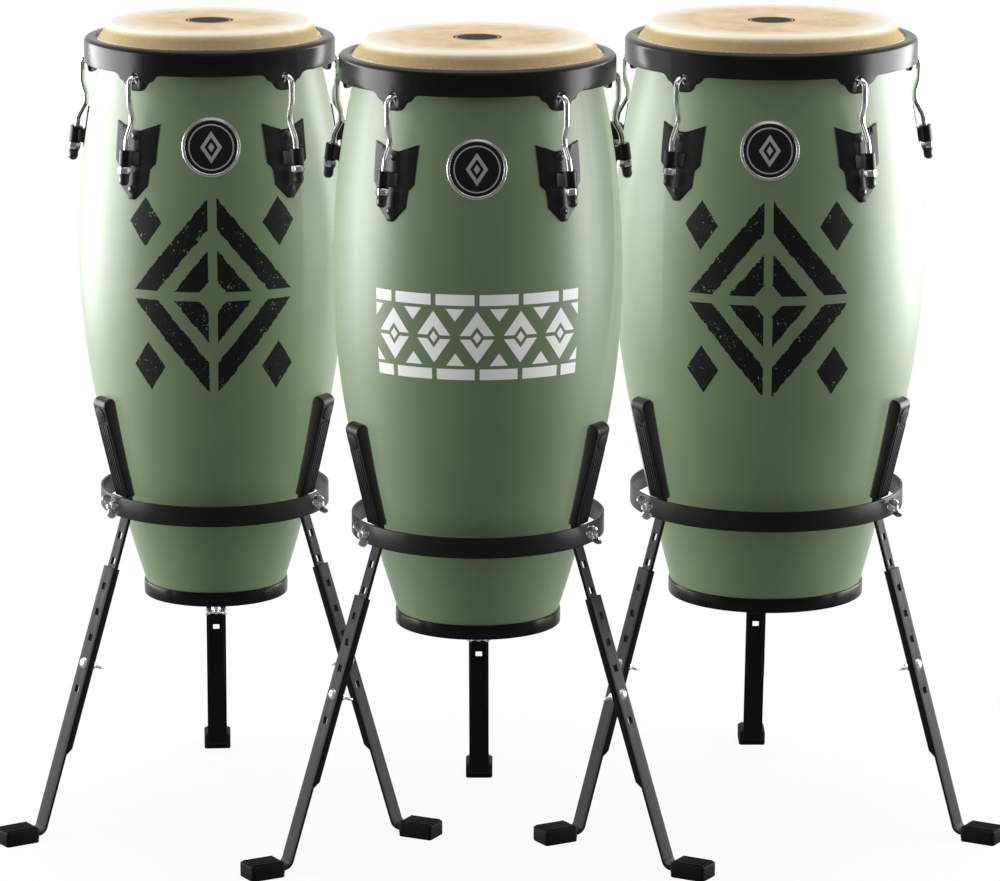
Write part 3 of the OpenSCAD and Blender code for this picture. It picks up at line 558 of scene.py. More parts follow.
def buildSkin(name, d):
    top, t, r = barrel["height"], skin["thick"], skin["shoulder"]
    ax, az = d["headR"] - barrel["edgeIn"] + skin["out"] - r, top - r
    bx, bz = hoopMid(d)
    wrapIn = skin["hoop"] + skin["gap"]
    way = atan2(bz - az, bx - ax) - asin((r + wrapIn) / hypot(bx - ax, bz - az))
    quarter = [pi / 2 + way * i / 10 for i in range(11)]
    wrap = [way + 1.5 * pi + radians(280) * i / 22 for i in range(23)]
    flat = [ax * i / 8 for i in range(8)]
    over = [(x, top) for x in flat] + [(ax + r * cos(a), az + r * sin(a)) for a in quarter]
    over += [(bx + wrapIn * cos(a), bz + wrapIn * sin(a)) for a in wrap]
    under = [(bx + (wrapIn + t) * cos(a), bz + (wrapIn + t) * sin(a)) for a in reversed(wrap)]
    under += [(ax + (r - t) * cos(a), az + (r - t) * sin(a)) for a in reversed(quarter)]
    under += [(x, top - t) for x in reversed(flat)]
    bm = bmesh.new()
    turned(bm, over + under, 144)
    makePiece(name + "_skin", bm, d["place"], [skinFinish(name, d)], name + "_drum", [name + "_head"])


def buildCollar(name, d):
    # the trimmed edge of the hide standing between the head and the rim
    bx, bz = hoopMid(d)
    inR = bx - 8.1
    bm = bmesh.new()
    turned(bm, [(inR + 0.7, bz + 1.5), (inR + 2.0, bz + 2.5), (inR + 1.8, bz + 7.5), (inR + 1.3, bz + 10.4),
                (inR + 0.2, bz + 10.4), (inR - 0.6, bz + 7.5)], 180)
    for v in bm.verts:      # an uneven hand-cut edge
        a = atan2(v.co.y, v.co.x)
        lift = max(0.0, (v.co.z - bz - 4) / 7)
        v.co.z += lift * (0.7 * sin(7 * a + 1) + 0.5 * sin(17 * a + 2.1) + 0.3 * sin(41 * a))
    makePiece(name + "_hide_edge", bm, d["place"], [collarHide], name + "_drum", (), 50)


rim = {"height": 30.0, "round": 6.0, "top": 12.5, "slotW": 9.0, "slotLow": -11.0, "slotHigh": 1.5,
       "cut": 3.0, "tab": [(35, 0), (31, -0.6), (27.5, -2.4), (25.2, -5.4), (22.8, -7.9), (19.6, -9.0),
                           (17.0, -10.6), (15.2, -13.4), (12.8, -16.8), (9.4, -19.2), (5.0, -20.0)]}


def buildRim(name, d):
    r = d["headR"] + skin["rimReach"]
    top = barrel["height"] - skin["rise"]
    low, bend = top - rim["height"], top - rim["round"]
    half = radians(36) * r
    right = [(half, bend - low), (half, 0)] + rim["tab"]
    outline = right + [(-x, z) for x, z in reversed(right)]
    w = rim["slotW"] / 2
    arc = [radians(15 * i) for i in range(13)]
    slot = [(w * cos(a), rim["slotHigh"] - w + w * sin(a)) for a in arc]
    slot += [(-w * cos(a), rim["slotLow"] + w - w * sin(a)) for a in arc]
    bm = bmesh.new()
    edges = []
    for loop in (outline, slot):
        edges += loopOf(bm, [(x, 0, low + z) for x, z in loop])
    bmesh.ops.triangle_fill(bm, use_beauty=True, edges=edges)
    for k in range(-11, 12):
        cutAcross(bm, (radians(rim["cut"] * k) * r, 0, 0), (1, 0, 0))
    for v in bm.verts:      # wrapped round the axis
        a = v.co.x / r
        v.co = (r * cos(a), r * sin(a), v.co.z)
    repeated(bm, [facing(t) for t in hookTurns])
    bmesh.ops.remove_doubles(bm, verts=bm.verts[:], dist=0.01)
    loop = [e for e in bm.edges if e.is_boundary and min(v.co.z for v in e.verts) > bend - 0.1]
    lip = [(r - rim["round"] * (1 - cos(a)), bend + rim["round"] * sin(a))
           for a in [radians(15 * i) for i in range(1, 7)]]
    lip += [(r - 9.5, top), (r - rim["top"], top - 0.1), (r - rim["top"] - 1.4, top - 0.7),
            (r - rim["top"] - 2.0, top - 2.0)]
    was = (r, bend)
    for now in lip:
        made = bmesh.ops.extrude_edge_only(bm, edges=loop)["geom"]
        verts = vertsOf(made)
        loop = [e for e in edgesOf(made) if e.verts[0] in verts and e.verts[1] in verts]
        bmesh.ops.scale(bm, vec=(now[0] / was[0], now[0] / was[0], 1), verts=verts)
        bmesh.ops.translate(bm, vec=(0, 0, now[1] - was[1]), verts=verts)
        was = now
    bmesh.ops.recalc_face_normals(bm, faces=bm.faces[:])
    probe = max(bm.faces, key=lambda f: f.calc_area())
    if probe.normal.dot(Vector((probe.calc_center_median().x, probe.calc_center_median().y, 0))) < 0:
        bmesh.ops.reverse_faces(bm, faces=bm.faces[:])
    piece = makePiece(name + "_rim_band", bm, d["place"], [coatBlack], name + "_rim_and_hooks",
                      [name + "_rim"])
    wall = piece.modifiers.new("wall", "SOLIDIFY")
    wall.thickness, wall.offset, wall.use_even_offset = skin["rimT"] * mm, -1, True
    edge = piece.modifiers.new("edge", "BEVEL")
    edge.width, edge.segments, edge.limit_method, edge.angle_limit = 0.8 * mm, 2, "ANGLE", radians(50)


lug = {"tubeZ": 565.0, "tubeH": 20.0, "tubeD": 15.0, "reach": 18.0, "lean": 8.0, "bore": 8.6, "plateT": 2.5,
       "gap": 0.1, "outline": [(5, 30.6), (31, 40), (29, -7), (22, -14), (20, -34), (4, -51)],
       "ridge": 1.3, "ridgeW": 10.0, "screwHigh": 24.0, "screwPitch": 63.0, "screwD": 5.0, "screwL": 21.0,
       "backNutH": 4.4, "armW": 11.0, "armH": 16.0}
hook = {"rod": 7.0, "radius": 10.0, "knee": 8.0, "bend": 22.0, "in": -30.0, "out": 18.0, "neck": 8.0,
        "tip": 3.0, "z": 650.0, "side": 0.5, "slack": 6.0, "inCap": 9.0, "nutH": 8.0}
nut = {"across": 14.0, "capD": 12.0, "capL": 15.0}


def tubeR(d):
    return shellR(d, lug["tubeZ"]) + lug["gap"] + lug["plateT"] + lug["reach"]


def atTube(d):
    return Matrix.Translation((tubeR(d), 0, lug["tubeZ"])) @ Matrix.Rotation(radians(-lug["lean"]), 4, "Y")


def buildHooks(name, d):
    shift = hook["slack"] * sin(radians(lug["lean"])) / 2
    t, hi, ho = radians(lug["lean"]), radians(hook["in"]), radians(hook["out"])
    px, pz = tubeR(d) - shift, lug["tubeZ"]
    b = hook["bend"]
    inR = d["headR"] + skin["rimReach"] - skin["rimT"] - hook["side"] - hook["rod"] / 2
    run = lug["tubeH"] / 2 + hook["knee"]
    neck = hook["neck"]
    x = px - run * sin(t) + b * (2 * cos(hi) - cos(t) + 1 - 2 * cos(ho)) + neck * sin(ho)
    z = pz + run * cos(t) + b * (2 * sin(ho) - 2 * sin(hi) - sin(t)) + neck * cos(ho)
    slant = (inR + 2 * hook["radius"] - x) / sin(hi)
    rise = hook["z"] - z - slant * cos(hi)
    start = hook["inCap"] + hook["nutH"] + lug["tubeH"] + hook["knee"]
    bm = bmesh.new()
    bmesh.ops.create_circle(bm, cap_ends=False, radius=hook["rod"] / 2, segments=20)
    swept(bm, bm.edges[:], [(start, hook["in"] + lug["lean"], b), (slant, hook["out"] - hook["in"], b),
                            (neck, -hook["out"], b), (rise, -180, hook["radius"]), (hook["tip"], 0, 0)], 4.0)
    capped(bm)
    soften(bm, 1.0, 3, 60)
    low = lug["tubeH"] / 2 + hook["nutH"] + hook["inCap"]
    own = Matrix.Translation((px, 0, pz)) @ Matrix.Rotation(-t, 4, "Y") @ Matrix.Translation((0, 0, -low))
    repeated(bm, [facing(a) @ own for a in hookTurns])
    makePiece(name + "_hook_rods", bm, d["place"], [chromeBright], name + "_rim_and_hooks",
              [name + "_tension_hooks"])


def buildLugs(name, d):
    half = lug["outline"]
    bm = bmesh.new()
    outline = half + [(-y, z) for y, z in reversed(half)]
    bm.faces.new([bm.verts.new((0, y, lug["tubeZ"] + z)) for y, z in outline])
    for k in range(-7, 8):
        cutAcross(bm, (0, 4 * k, 0), (0, 1, 0))
    for k in range(-5, 5):
        cutAcross(bm, (0, 0, lug["tubeZ"] + 9 * k), (0, 0, 1))
    made = bmesh.ops.extrude_face_region(bm, geom=bm.faces[:])["geom"]
    front = set(vertsOf(made))
    for v in bm.verts:      # laid on the shell, with a raised ridge down the middle
        y, z = v.co.y, v.co.z
        ridge = lug["ridge"] * max(0.0, 1 - (y / lug["ridgeW"]) ** 2) ** 2
        r = shellR(d, z) + lug["gap"] + (lug["plateT"] + ridge if v in front else 0)
        v.co = (sqrt(r * r - y * y), y, z)
    bmesh.ops.recalc_face_normals(bm, faces=bm.faces[:])
    soften(bm, 0.8, 2, 45)
    tube = bmesh.new()
    h, ro, ri = lug["tubeH"] / 2, lug["tubeD"] / 2, lug["bore"] / 2
    turned(tube, [(ri, -h), (ro, -h), (ro, h), (ri, h)], 40)
    soften(tube, 0.9, 3, 45)
    added(bm, tube, atTube(d))
    arm = bmesh.new()
    bmesh.ops.create_cube(arm, size=1.0)
    bmesh.ops.scale(arm, vec=(lug["reach"] - 4.5, lug["armW"], lug["armH"]), verts=arm.verts[:])
    root = [v for v in arm.verts if v.co.x < 0]
    bmesh.ops.scale(arm, vec=(1, 1.25, 1.12), verts=root)
    soften(arm, 1.2, 3, 45)
    added(bm, arm, atTube(d) @ Matrix.Translation((-lug["reach"] / 2 - 2.6, 0, 0)))
    repeated(bm, [facing(a) for a in hookTurns])
    makePiece(name + "_lug_brackets", bm, d["place"], [coatBlack], name + "_drum", [name + "_lug_plates"])


def onShell(d, z, out=0.0):
    lean = asin((z - barrel["bellyZ"]) / d["bellyArc"])
    return (Matrix.Translation((shellR(d, z), 0, z)) @ Matrix.Rotation(-lean, 4, "Y")
            @ Matrix.Translation((out, 0, 0)))


def buildLugScrews(name, d):
    r, h = 1.1 * lug["screwD"], 0.75 * lug["screwD"]
    ball = (r * r + h * h) / (2 * h)
    dome = [(ball * sin(a), h - ball + ball * cos(a)) for a in [asin(r / ball) * i / 8 for i in range(9)]]
    one = bmesh.new()
    lift = lug["gap"] + lug["plateT"] + lug["ridge"] * 0.85
    stem, long = lug["screwD"] / 2, lug["screwL"]
    turned(one, dome + [(r * 0.96, -0.5), (stem, -0.5), (stem, -long), (0, -long - 0.4)], 28)
    nutShape = bmesh.new()
    bmesh.ops.create_circle(nutShape, cap_ends=True, radius=lug["screwD"], segments=6)
    made = bmesh.ops.extrude_face_region(nutShape, geom=nutShape.faces[:])["geom"]
    bmesh.ops.translate(nutShape, vec=(0, 0, lug["backNutH"]), verts=vertsOf(made))
    outward(nutShape)
    soften(nutShape, 0.5, 2, 30)
    deep = lift + barrel["wall"] + lug["backNutH"] + lug["gap"]
    added(one, nutShape, Matrix.Translation((0, 0, -deep)))
    moveAll(one, Matrix.Translation((lift, 0, 0)) @ Matrix.Rotation(pi / 2, 4, "Y"))
    high = lug["tubeZ"] + lug["screwHigh"]
    repeated(one, [facing(a) @ onShell(d, z) for a in hookTurns for z in (high, high - lug["screwPitch"])])
    makePiece(name + "_dome_screws", one, d["place"], [capBlack], name + "_drum", [name + "_lug_screws"])


def buildNuts(name, d):
    h = hook["nutH"]
    low = -lug["tubeH"] / 2 - h
    bm = bmesh.new()
    edges = []
    for radius, sides in ((nut["across"] / sqrt(3), 6), (lug["bore"] / 2, 24)):
        turns = [2 * pi * i / sides for i in range(sides)]
        edges += loopOf(bm, [(radius * cos(a), radius * sin(a), 0) for a in turns])
    bmesh.ops.triangle_fill(bm, use_beauty=True, edges=edges)
    made = bmesh.ops.extrude_face_region(bm, geom=bm.faces[:])["geom"]
    bmesh.ops.translate(bm, vec=(0, 0, h - 0.05), verts=vertsOf(made))
    outward(bm)
    soften(bm, 0.7, 2, 45)
    moveAll(bm, atTube(d) @ Matrix.Translation((0, 0, low)))
    repeated(bm, [facing(a) for a in hookTurns])
    makePiece(name + "_hex_nuts", bm, d["place"], [chromeBright], name + "_drum", [name + "_tuning_nuts"])
    cap = bmesh.new()
    r, long, bore = nut["capD"] / 2, nut["capL"], lug["bore"] / 2
    dome = [(r * cos(a), r - long - r * sin(a)) for a in [radians(9 * i) for i in range(11)]]
    turned(cap, [(r + 0.6, 0), (r + 0.6, -2.0), (r, -2.8)] + dome
           + [(0, -hook["inCap"] - 0.4), (bore, -hook["inCap"] - 0.4), (bore, 0)], 32)
    moveAll(cap, atTube(d) @ Matrix.Translation((0, 0, low)))
    repeated(cap, [facing(a) for a in hookTurns])
    makePiece(name + "_nut_caps", cap, d["place"], [capBlack], name + "_drum", [name + "_tuning_nuts"])


badge = {"z": 579.0, "radius": 35.0, "ringW": 3.6, "face": 0.9, "ring": 1.5, "lineR": 26.5, "lineW": 0.8,
         "lozengeW": 13, "lozengeH": 19}


def badgeFinish(name, drum):
    # black enamel with a silver lozenge in a ring
    f = Finish(name + "_badge_enamel")
    x, y, z = f.parts(f.around(drum["axis"], drum["turn"]))
    u, v = abs(x) * 1000, abs(z * 1000 - badge["z"])
    far = (u * u + v * v).root()
    lozenge = u / badge["lozengeW"] + v / badge["lozengeH"]
    line = abs(far - badge["lineR"]) < badge["lineW"]
    silver = line.larger((lozenge < 1.0) * (lozenge > 0.62)).larger(lozenge < 0.3)
    grain = f.noise(f.place(), 600, 3, 0.6)
    f.bump(silver + grain * 0.2, 0.3, 0.0003)
    return f.wear(Base_Color=f.mix(silver, (0.006, 0.006, 0.006, 1), (0.72, 0.72, 0.73, 1)),
                  Metallic=silver, Roughness=0.22 + 0.10 * silver + 0.06 * grain, Specular_IOR_Level=0.3)


def buildBadge(name, d):
    R, inner = badge["radius"], badge["radius"] - badge["ringW"]
    line = [(inner * i / 8, badge["face"]) for i in range(9)]
    line += [(inner + 0.5, badge["ring"]), (R - 0.7, badge["ring"]), (R, badge["ring"] - 0.5), (R, 0.05),
             (inner, 0.05)]
    line += [(inner * i / 8, 0.05) for i in reversed(range(8))]
    bm = bmesh.new()
    turned(bm, line, 96)
    for f in bm.faces:
        mid = f.calc_center_median()
        f.material_index = 1 if hypot(mid.x, mid.y) > inner - 0.05 else 0
    for v in bm.verts:      # bent to the shell
        y, z, h = v.co.x, badge["z"] + v.co.y, v.co.z
        r = shellR(d, z) + h
        v.co = (sqrt(r * r - y * y), y, z)
    outward(bm)
    makePiece(name + "_badge", bm, d["place"] @ facing(0), [badgeFinish(name, d), badgeSilver],
              name + "_drum", ())


for name, d in drumSizes.items():
    buildShell(name, d)
    buildLowerRing(name, d)
    buildSkin(name, d)
    buildCollar(name, d)
    buildRim(name, d)
    buildHooks(name, d)
    buildLugs(name, d)
    buildLugScrews(name, d)
    buildNuts(name, d)
    buildBadge(name, d)
    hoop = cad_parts[name + "_flesh_hoop"]      # the wire inside the hide keeps its solid
    hoop.data.materials.clear()
    hoop.data.materials.append(hoopSteel.mat)
    print(name, "drum built")

stand = {"ringRise": 125.0, "ringH": 25.0, "ringT": 3.0, "spacer": 12.0, "barReach": 8.0, "barW": 19.0,
         "barT": 4.0, "barL": 212.0, "flat": 16.0, "bend": 12.0, "padW": 30.0, "padL": 128.0, "padSkin": 7.5,
         "padLift": 3.0, "padSpread": 1.9, "topInset": 12.0, "holeW": 8.0, "pitch": 32.5, "boltEnd": 18.0,
         "travel": 60.0, "legT": 3.0, "slide": 0.4, "flangeT": 2.5, "flangeH": 8.5,
         "legBend": 10.0, "legLow": 7.0, "above": 3.75, "below": 3.5}
foot = {"start": 1.0, "long": 45.0, "wide": 34.0, "high": 20.0, "round": 4.0, "toe": 4.0, "ribs": 5,
        "ribH": 1.8, "ribW": 0.62, "inset": 5.0, "lip": (3.0, 4.5, 5.0)}
pad = {"ribs": 5, "ribShare": 0.74, "ribH": 1.6, "ribW": 0.55, "ribLow": 2.5, "inset": 3.2, "round": 8.5,
       "edge": 2.4, "topR": 5.0, "topW": 4.5, "ovalH": 9.6, "ovalIn": 4.2, "ovalDrop": 10.8}
bolt = {"d": 6.5, "out": 12.0, "headR": 7.0, "headH": 4.0, "spacerR": 5.5}
wings = {"hubR": 6.2, "topR": 5.0, "high": 8.0, "wingR": 6.6, "wingT": 2.8, "spread": 9.2, "wingZ": 8.6}
boltS = stand["barL"] - stand["boltEnd"]
legW = stand["barW"] + 2 * stand["slide"] + 2 * stand["flangeT"]
legTopS = boltS - stand["above"] * stand["pitch"]
channelS = boltS + stand["below"] * stand["pitch"]
for name, d in drumSizes.items():
    d["ringZ"] = d["seat"] + stand["ringRise"]
    d["barR"] = shellR(d, stand["ringRise"]) + stand["barReach"]
    grow = shellR(d, stand["ringRise"] + stand["padL"]) - shellR(d, stand["ringRise"])
    d["padLean"] = atan(grow / stand["padL"]) + radians(stand["padSpread"])
    lean = radians(d["lean"])
    bendOut = stand["slide"] + stand["legT"] + stand["legBend"]
    drop = d["ringZ"] - stand["flat"] / 2 - stand["legLow"] - stand["legT"] - stand["legBend"]
    d["bendS"] = (drop + bendOut * sin(lean)) / cos(lean)
    d["footR"] = d["barR"] + d["bendS"] * sin(lean) + bendOut * cos(lean)


def downLeg(d):      # +Z down the leg, +X inward, the bar's outer face at x = 0
    return (Matrix.Translation((d["barR"], 0, d["ringZ"] - stand["flat"] / 2))
            @ Matrix.Rotation(pi - radians(d["lean"]), 4, "Y"))


def upBar(d):
    return (Matrix.Translation((d["barR"], 0, d["ringZ"] + stand["flat"] / 2))
            @ Matrix.Rotation(d["padLean"], 4, "Y"))


def buildBasketRing(name, d):
    inR, h, t = d["barR"] + stand["spacer"], stand["ringH"] / 2, stand["ringT"]
    bm = bmesh.new()
    turned(bm, [(inR, -h), (inR + t, -h), (inR + t, h), (inR, h)], 168)
    soften(bm, 0.9, 3, 45)
    makePiece(name + "_ring_band", bm, d["stand"] @ Matrix.Translation((0, 0, d["ringZ"])), [bandBlack],
              "stands", [name + "_basket_ring"])


def barLoop(bm, t, w, hole):      # a flat bar's section with points beside its holes
    across = [-w / 2, -hole / 2, hole / 2, w / 2]
    return loopOf(bm, [(-t / 2, y, 0) for y in across] + [(t / 2, y, 0) for y in reversed(across)])


def buildUpperLegs():
    whole = bmesh.new()
    for name, d in drumSizes.items():
        arm = stand["padLift"] + stand["padL"] - stand["topInset"]
        bendR = stand["bend"] + stand["barT"] / 2
        cutA, cutB = stand["bend"] * tan(d["padLean"] / 2), stand["bend"] * tan(radians(d["lean"]) / 2)
        hole = stand["holeW"]
        stops = [boltS - 5 * stand["pitch"] - hole / 2, boltS - 5 * stand["pitch"] + hole / 2,
                 boltS - 4 * stand["pitch"] - hole / 2, boltS - 4 * stand["pitch"] + hole / 2,
                 boltS - stand["travel"] - hole / 2, boltS + hole / 2, stand["barL"]]
        runs = [(b - a, 0, 0) for a, b in zip([cutB] + stops, stops)]
        bm = bmesh.new()
        bends = [(arm - cutA, -d["padLean"] * 180 / pi, bendR),
                 (stand["flat"] - cutA - cutB, -d["lean"], bendR)]
        swept(bm, barLoop(bm, stand["barT"], stand["barW"], hole), bends + runs)
        capped(bm)
        top = Matrix.Translation((-stand["barT"] / 2, 0, arm))
        moveAll(bm, upBar(d) @ top @ Matrix.Rotation(pi, 4, "Y"))
        middles = [(stops[0] + stops[1]) / 2, (stops[2] + stops[3]) / 2, (stops[4] + stops[5]) / 2]
        half = stand["barT"] / 2
        pierced(bm, [downLeg(d) @ Vector((half, 0, s)) for s in middles], half + 0.4)
        outward(bm)
        soften(bm, 0.5, 2, 45)
        repeated(bm, [d["stand"] @ facing(a) for a in legTurns.values()])
        added(whole, bm)
    makePiece("leg_bars", whole, Matrix.Identity(4), [legBlack], "stands", ["upper_legs"])


def buildPads():
    whole = bmesh.new()
    for name, d in drumSizes.items():
        z0, z1, w = stand["padLift"], stand["padLift"] + stand["padL"], stand["padW"] / 2
        face = stand["padSkin"] - pad["ribH"]
        frameUp = upBar(d)

        def wallX(y, z):      # where the shell's surface is, seen from the bar
            x = -10.0
            for _ in range(6):
                p = frameUp @ Vector((x, y, z))
                x += (shellR(d, p.z - d["seat"]) + 0.4 - hypot(p.x, p.y)) / cos(d["padLean"])
            return x

        cap = pad["round"]
        heights = [z0 + (z1 - pad["topR"] - z0) * i / 10 for i in range(10, -1, -1)]
        back = [(wallX(0, z), z) for z in heights]
        arc = [(face - cap + cap * cos(a), z1 - cap + cap * sin(a))
               for a in [radians(15 * i) for i in range(7)]]
        topIn = [(back[0][0] + pad["topW"] * (1 - sin(a)), z1 - pad["topR"] * (1 - cos(a)))
                 for a in [radians(22.5 * i) for i in range(4)]]
        bm = bmesh.new()
        plate(bm, [(x, -w, z) for x, z in [(face, z0)] + arc + topIn + back], 2 * w, (0, 1, 0))
        for y in (-10, -5, 0, 5, 10):
            cutAcross(bm, (0, y, 0), (0, 1, 0))
        for v in bm.verts:
            if v.co.x < wallX(0, v.co.z) + 0.3:
                v.co.x = wallX(v.co.y, v.co.z)
        outward(bm)
        soften(bm, pad["edge"], 3, 50)
        step = 2 * (w - pad["inset"]) / pad["ribs"]
        for i in range(pad["ribs"]):
            rib = bmesh.new()
            bmesh.ops.create_cube(rib, size=1.0)
            long = pad["ribShare"] * stand["padL"]
            bmesh.ops.scale(rib, vec=(2 * pad["ribH"], step * pad["ribW"], long), verts=rib.verts[:])
            soften(rib, 0.45, 2, 45)
            side = step * (i + 0.5) - w + pad["inset"]
            added(bm, rib, Matrix.Translation((face, side, z0 + pad["ribLow"] + long / 2)))
        sole = bmesh.new()      # the smooth oval end above the ribs
        bmesh.ops.create_circle(sole, cap_ends=True, radius=1.0, segments=40)
        bmesh.ops.scale(sole, vec=(pad["ovalH"], w - pad["ovalIn"], 1), verts=sole.verts[:])
        made = bmesh.ops.extrude_face_region(sole, geom=sole.faces[:])["geom"]
        bmesh.ops.translate(sole, vec=(0, 0, pad["ribH"] + 0.5), verts=vertsOf(made))
        outward(sole)
        soften(sole, 0.5, 2, 45)
        added(bm, sole, Matrix.Translation((face - 0.5, 0, z1 - cap - pad["ovalDrop"]))
              @ Matrix.Rotation(pi / 2, 4, "Y"))
        moveAll(bm, frameUp)
        repeated(bm, [d["stand"] @ facing(a) for a in legTurns.values()])
        added(whole, bm)
    makePiece("shell_cradles", whole, Matrix.Identity(4), [padRubber], "stands", ["cradle_pads"])


def wingNut():
    bm = bmesh.new()
    bore = bolt["d"] / 2 + 0.1
    hub, high = wings["hubR"], wings["high"]
    turned(bm, [(bore, 0), (hub, 0), (hub, 2.2), (wings["topR"], high), (bore, high)], 36)
    soften(bm, 0.5, 2, 40)
    for side in (-1, 1):
        wing = bmesh.new()
        bmesh.ops.create_circle(wing, cap_ends=True, radius=wings["wingR"], segments=28)
        made = bmesh.ops.extrude_face_region(wing, geom=wing.faces[:])["geom"]
        bmesh.ops.translate(wing, vec=(0, 0, wings["wingT"]), verts=vertsOf(made))
        outward(wing)
        root = [v for v in wing.verts if v.co.x * side < -1]
        bmesh.ops.scale(wing, vec=(1, 0.7, 1.0), verts=root)
        soften(wing, 0.7, 3, 45)
        spot = Vector((side * wings["spread"], wings["wingT"] / 2, wings["wingZ"]))
        added(bm, wing, Matrix.Translation(spot) @ Matrix.Rotation(pi / 2, 4, "X"))
    return bm


def shank(bm, radius, low, high):      # a bolt's stem with a rounded end at high
    stem = bmesh.new()
    turned(stem, [(0, low), (radius, low), (radius, high - 0.8), (radius - 0.8, high), (0, high)], 28)
    added(bm, stem)


def buildRingFasteners():
    whole = bmesh.new()
    grip = stand["barT"] + stand["spacer"] + stand["ringT"]
    for name, d in drumSizes.items():
        bm = bmesh.new()
        turned(bm, [(0, -1.6), (3.2, -1.5), (5.0, -1.0), (5.85, -0.3), (0, -0.3)], 36)
        shank(bm, bolt["d"] / 2, -0.2, grip + bolt["out"])
        tube = bmesh.new()
        bore, long = bolt["d"] / 2 + 0.2, stand["spacer"] - 0.2
        turned(tube, [(bore, 0), (bolt["spacerR"], 0), (bolt["spacerR"], long), (bore, long)], 32)
        soften(tube, 0.5, 2, 45)
        added(bm, tube, Matrix.Translation((0, 0, stand["barT"])))
        added(bm, wingNut(), Matrix.Translation((0, 0, grip + 0.3)) @ Matrix.Rotation(radians(35), 4, "Z"))
        moveAll(bm, Matrix.Translation((d["barR"] - stand["barT"], 0, d["ringZ"]))
                @ Matrix.Rotation(pi / 2, 4, "Y"))
        repeated(bm, [d["stand"] @ facing(a) for a in legTurns.values()])
        added(whole, bm)
    makePiece("ring_wing_nuts", whole, Matrix.Identity(4), [nickelDark], "stands", ["ring_fasteners"])


def buildLowerLeg(name, d, k):
    t, w, hole, fl, fh = stand["legT"], legW / 2, stand["holeW"] / 2, stand["flangeT"], stand["flangeH"]
    stops = [legTopS]
    for i in range(-3, 2):
        stops += [boltS + i * stand["pitch"] - hole, boltS + i * stand["pitch"] + hole]
    stops += [channelS - fh, channelS]
    toe = foot["start"] + foot["long"] - foot["toe"] - 1
    bm = bmesh.new()
    half = [(0, hole), (0, w), (fh, w), (fh, w - fl), (t, w - fl), (t, hole)]      # a channel section
    loop = loopOf(bm, [(x - t / 2, y, 0) for x, y in half + [(x, -y) for x, y in reversed(half)]])
    loop = swept(bm, loop, [(b - a, 0, 0) for a, b in zip(stops, stops[1:])])
    for v in {v for e in loop for v in e.verts}:      # the flanges run out into a flat bar
        v.co.x = min(v.co.x, t / 2)
    swept(bm, loop, [(d["bendS"] - channelS, d["lean"] - 90, stand["legBend"] + t / 2), (toe, 0, 0)],
          startZ=channelS - legTopS)
    capped(bm)
    moveAll(bm, Matrix.Translation((t / 2 - stand["slide"] - t, 0, legTopS)))
    holes = [boltS + i * stand["pitch"] for i in range(-3, 2)]
    pierced(bm, [Vector((-stand["slide"] - t / 2, 0, s)) for s in holes], t / 2 + 0.4)
    outward(bm)
    soften(bm, 0.45, 2, 45)
    makePiece(name + "_leg_channel_" + k, bm, d["stand"] @ facing(legTurns[k]) @ downLeg(d), [legBlack],
              name + "_lower_leg_" + k, [name + "_leg_" + k])


def buildLegBolt(name, d, k):
    r, h = bolt["headR"], bolt["headH"]
    ball = (r * r + h * h) / (2 * h)
    dome = [(ball * sin(a), -h + ball - ball * cos(a)) for a in [asin(r / ball) * i / 8 for i in range(9)]]
    grip = stand["legT"] + stand["slide"] + stand["barT"] + 0.3
    bm = bmesh.new()
    turned(bm, dome + [(6.7, -0.05), (0, -0.05)], 36)
    neck = bmesh.new()
    bmesh.ops.create_cube(neck, size=1.0)
    square = stand["holeW"] - 0.4
    bmesh.ops.scale(neck, vec=(square, square, stand["legT"]), verts=neck.verts[:])
    soften(neck, 0.4, 2, 45)
    added(bm, neck, Matrix.Translation((0, 0, stand["legT"] / 2)))
    shank(bm, bolt["d"] / 2, 0.2, grip + bolt["out"])
    added(bm, wingNut(), Matrix.Translation((0, 0, grip)) @ Matrix.Rotation(pi / 2, 4, "Z"))
    moveAll(bm, Matrix.Translation((-stand["slide"] - stand["legT"], 0, boltS))
            @ Matrix.Rotation(pi / 2, 4, "Y"))
    makePiece(name + "_carriage_bolt_" + k, bm, d["stand"] @ facing(legTurns[k]) @ downLeg(d), [zincDull],
              name + "_lower_leg_" + k, [name + "_leg_bolt_" + k])


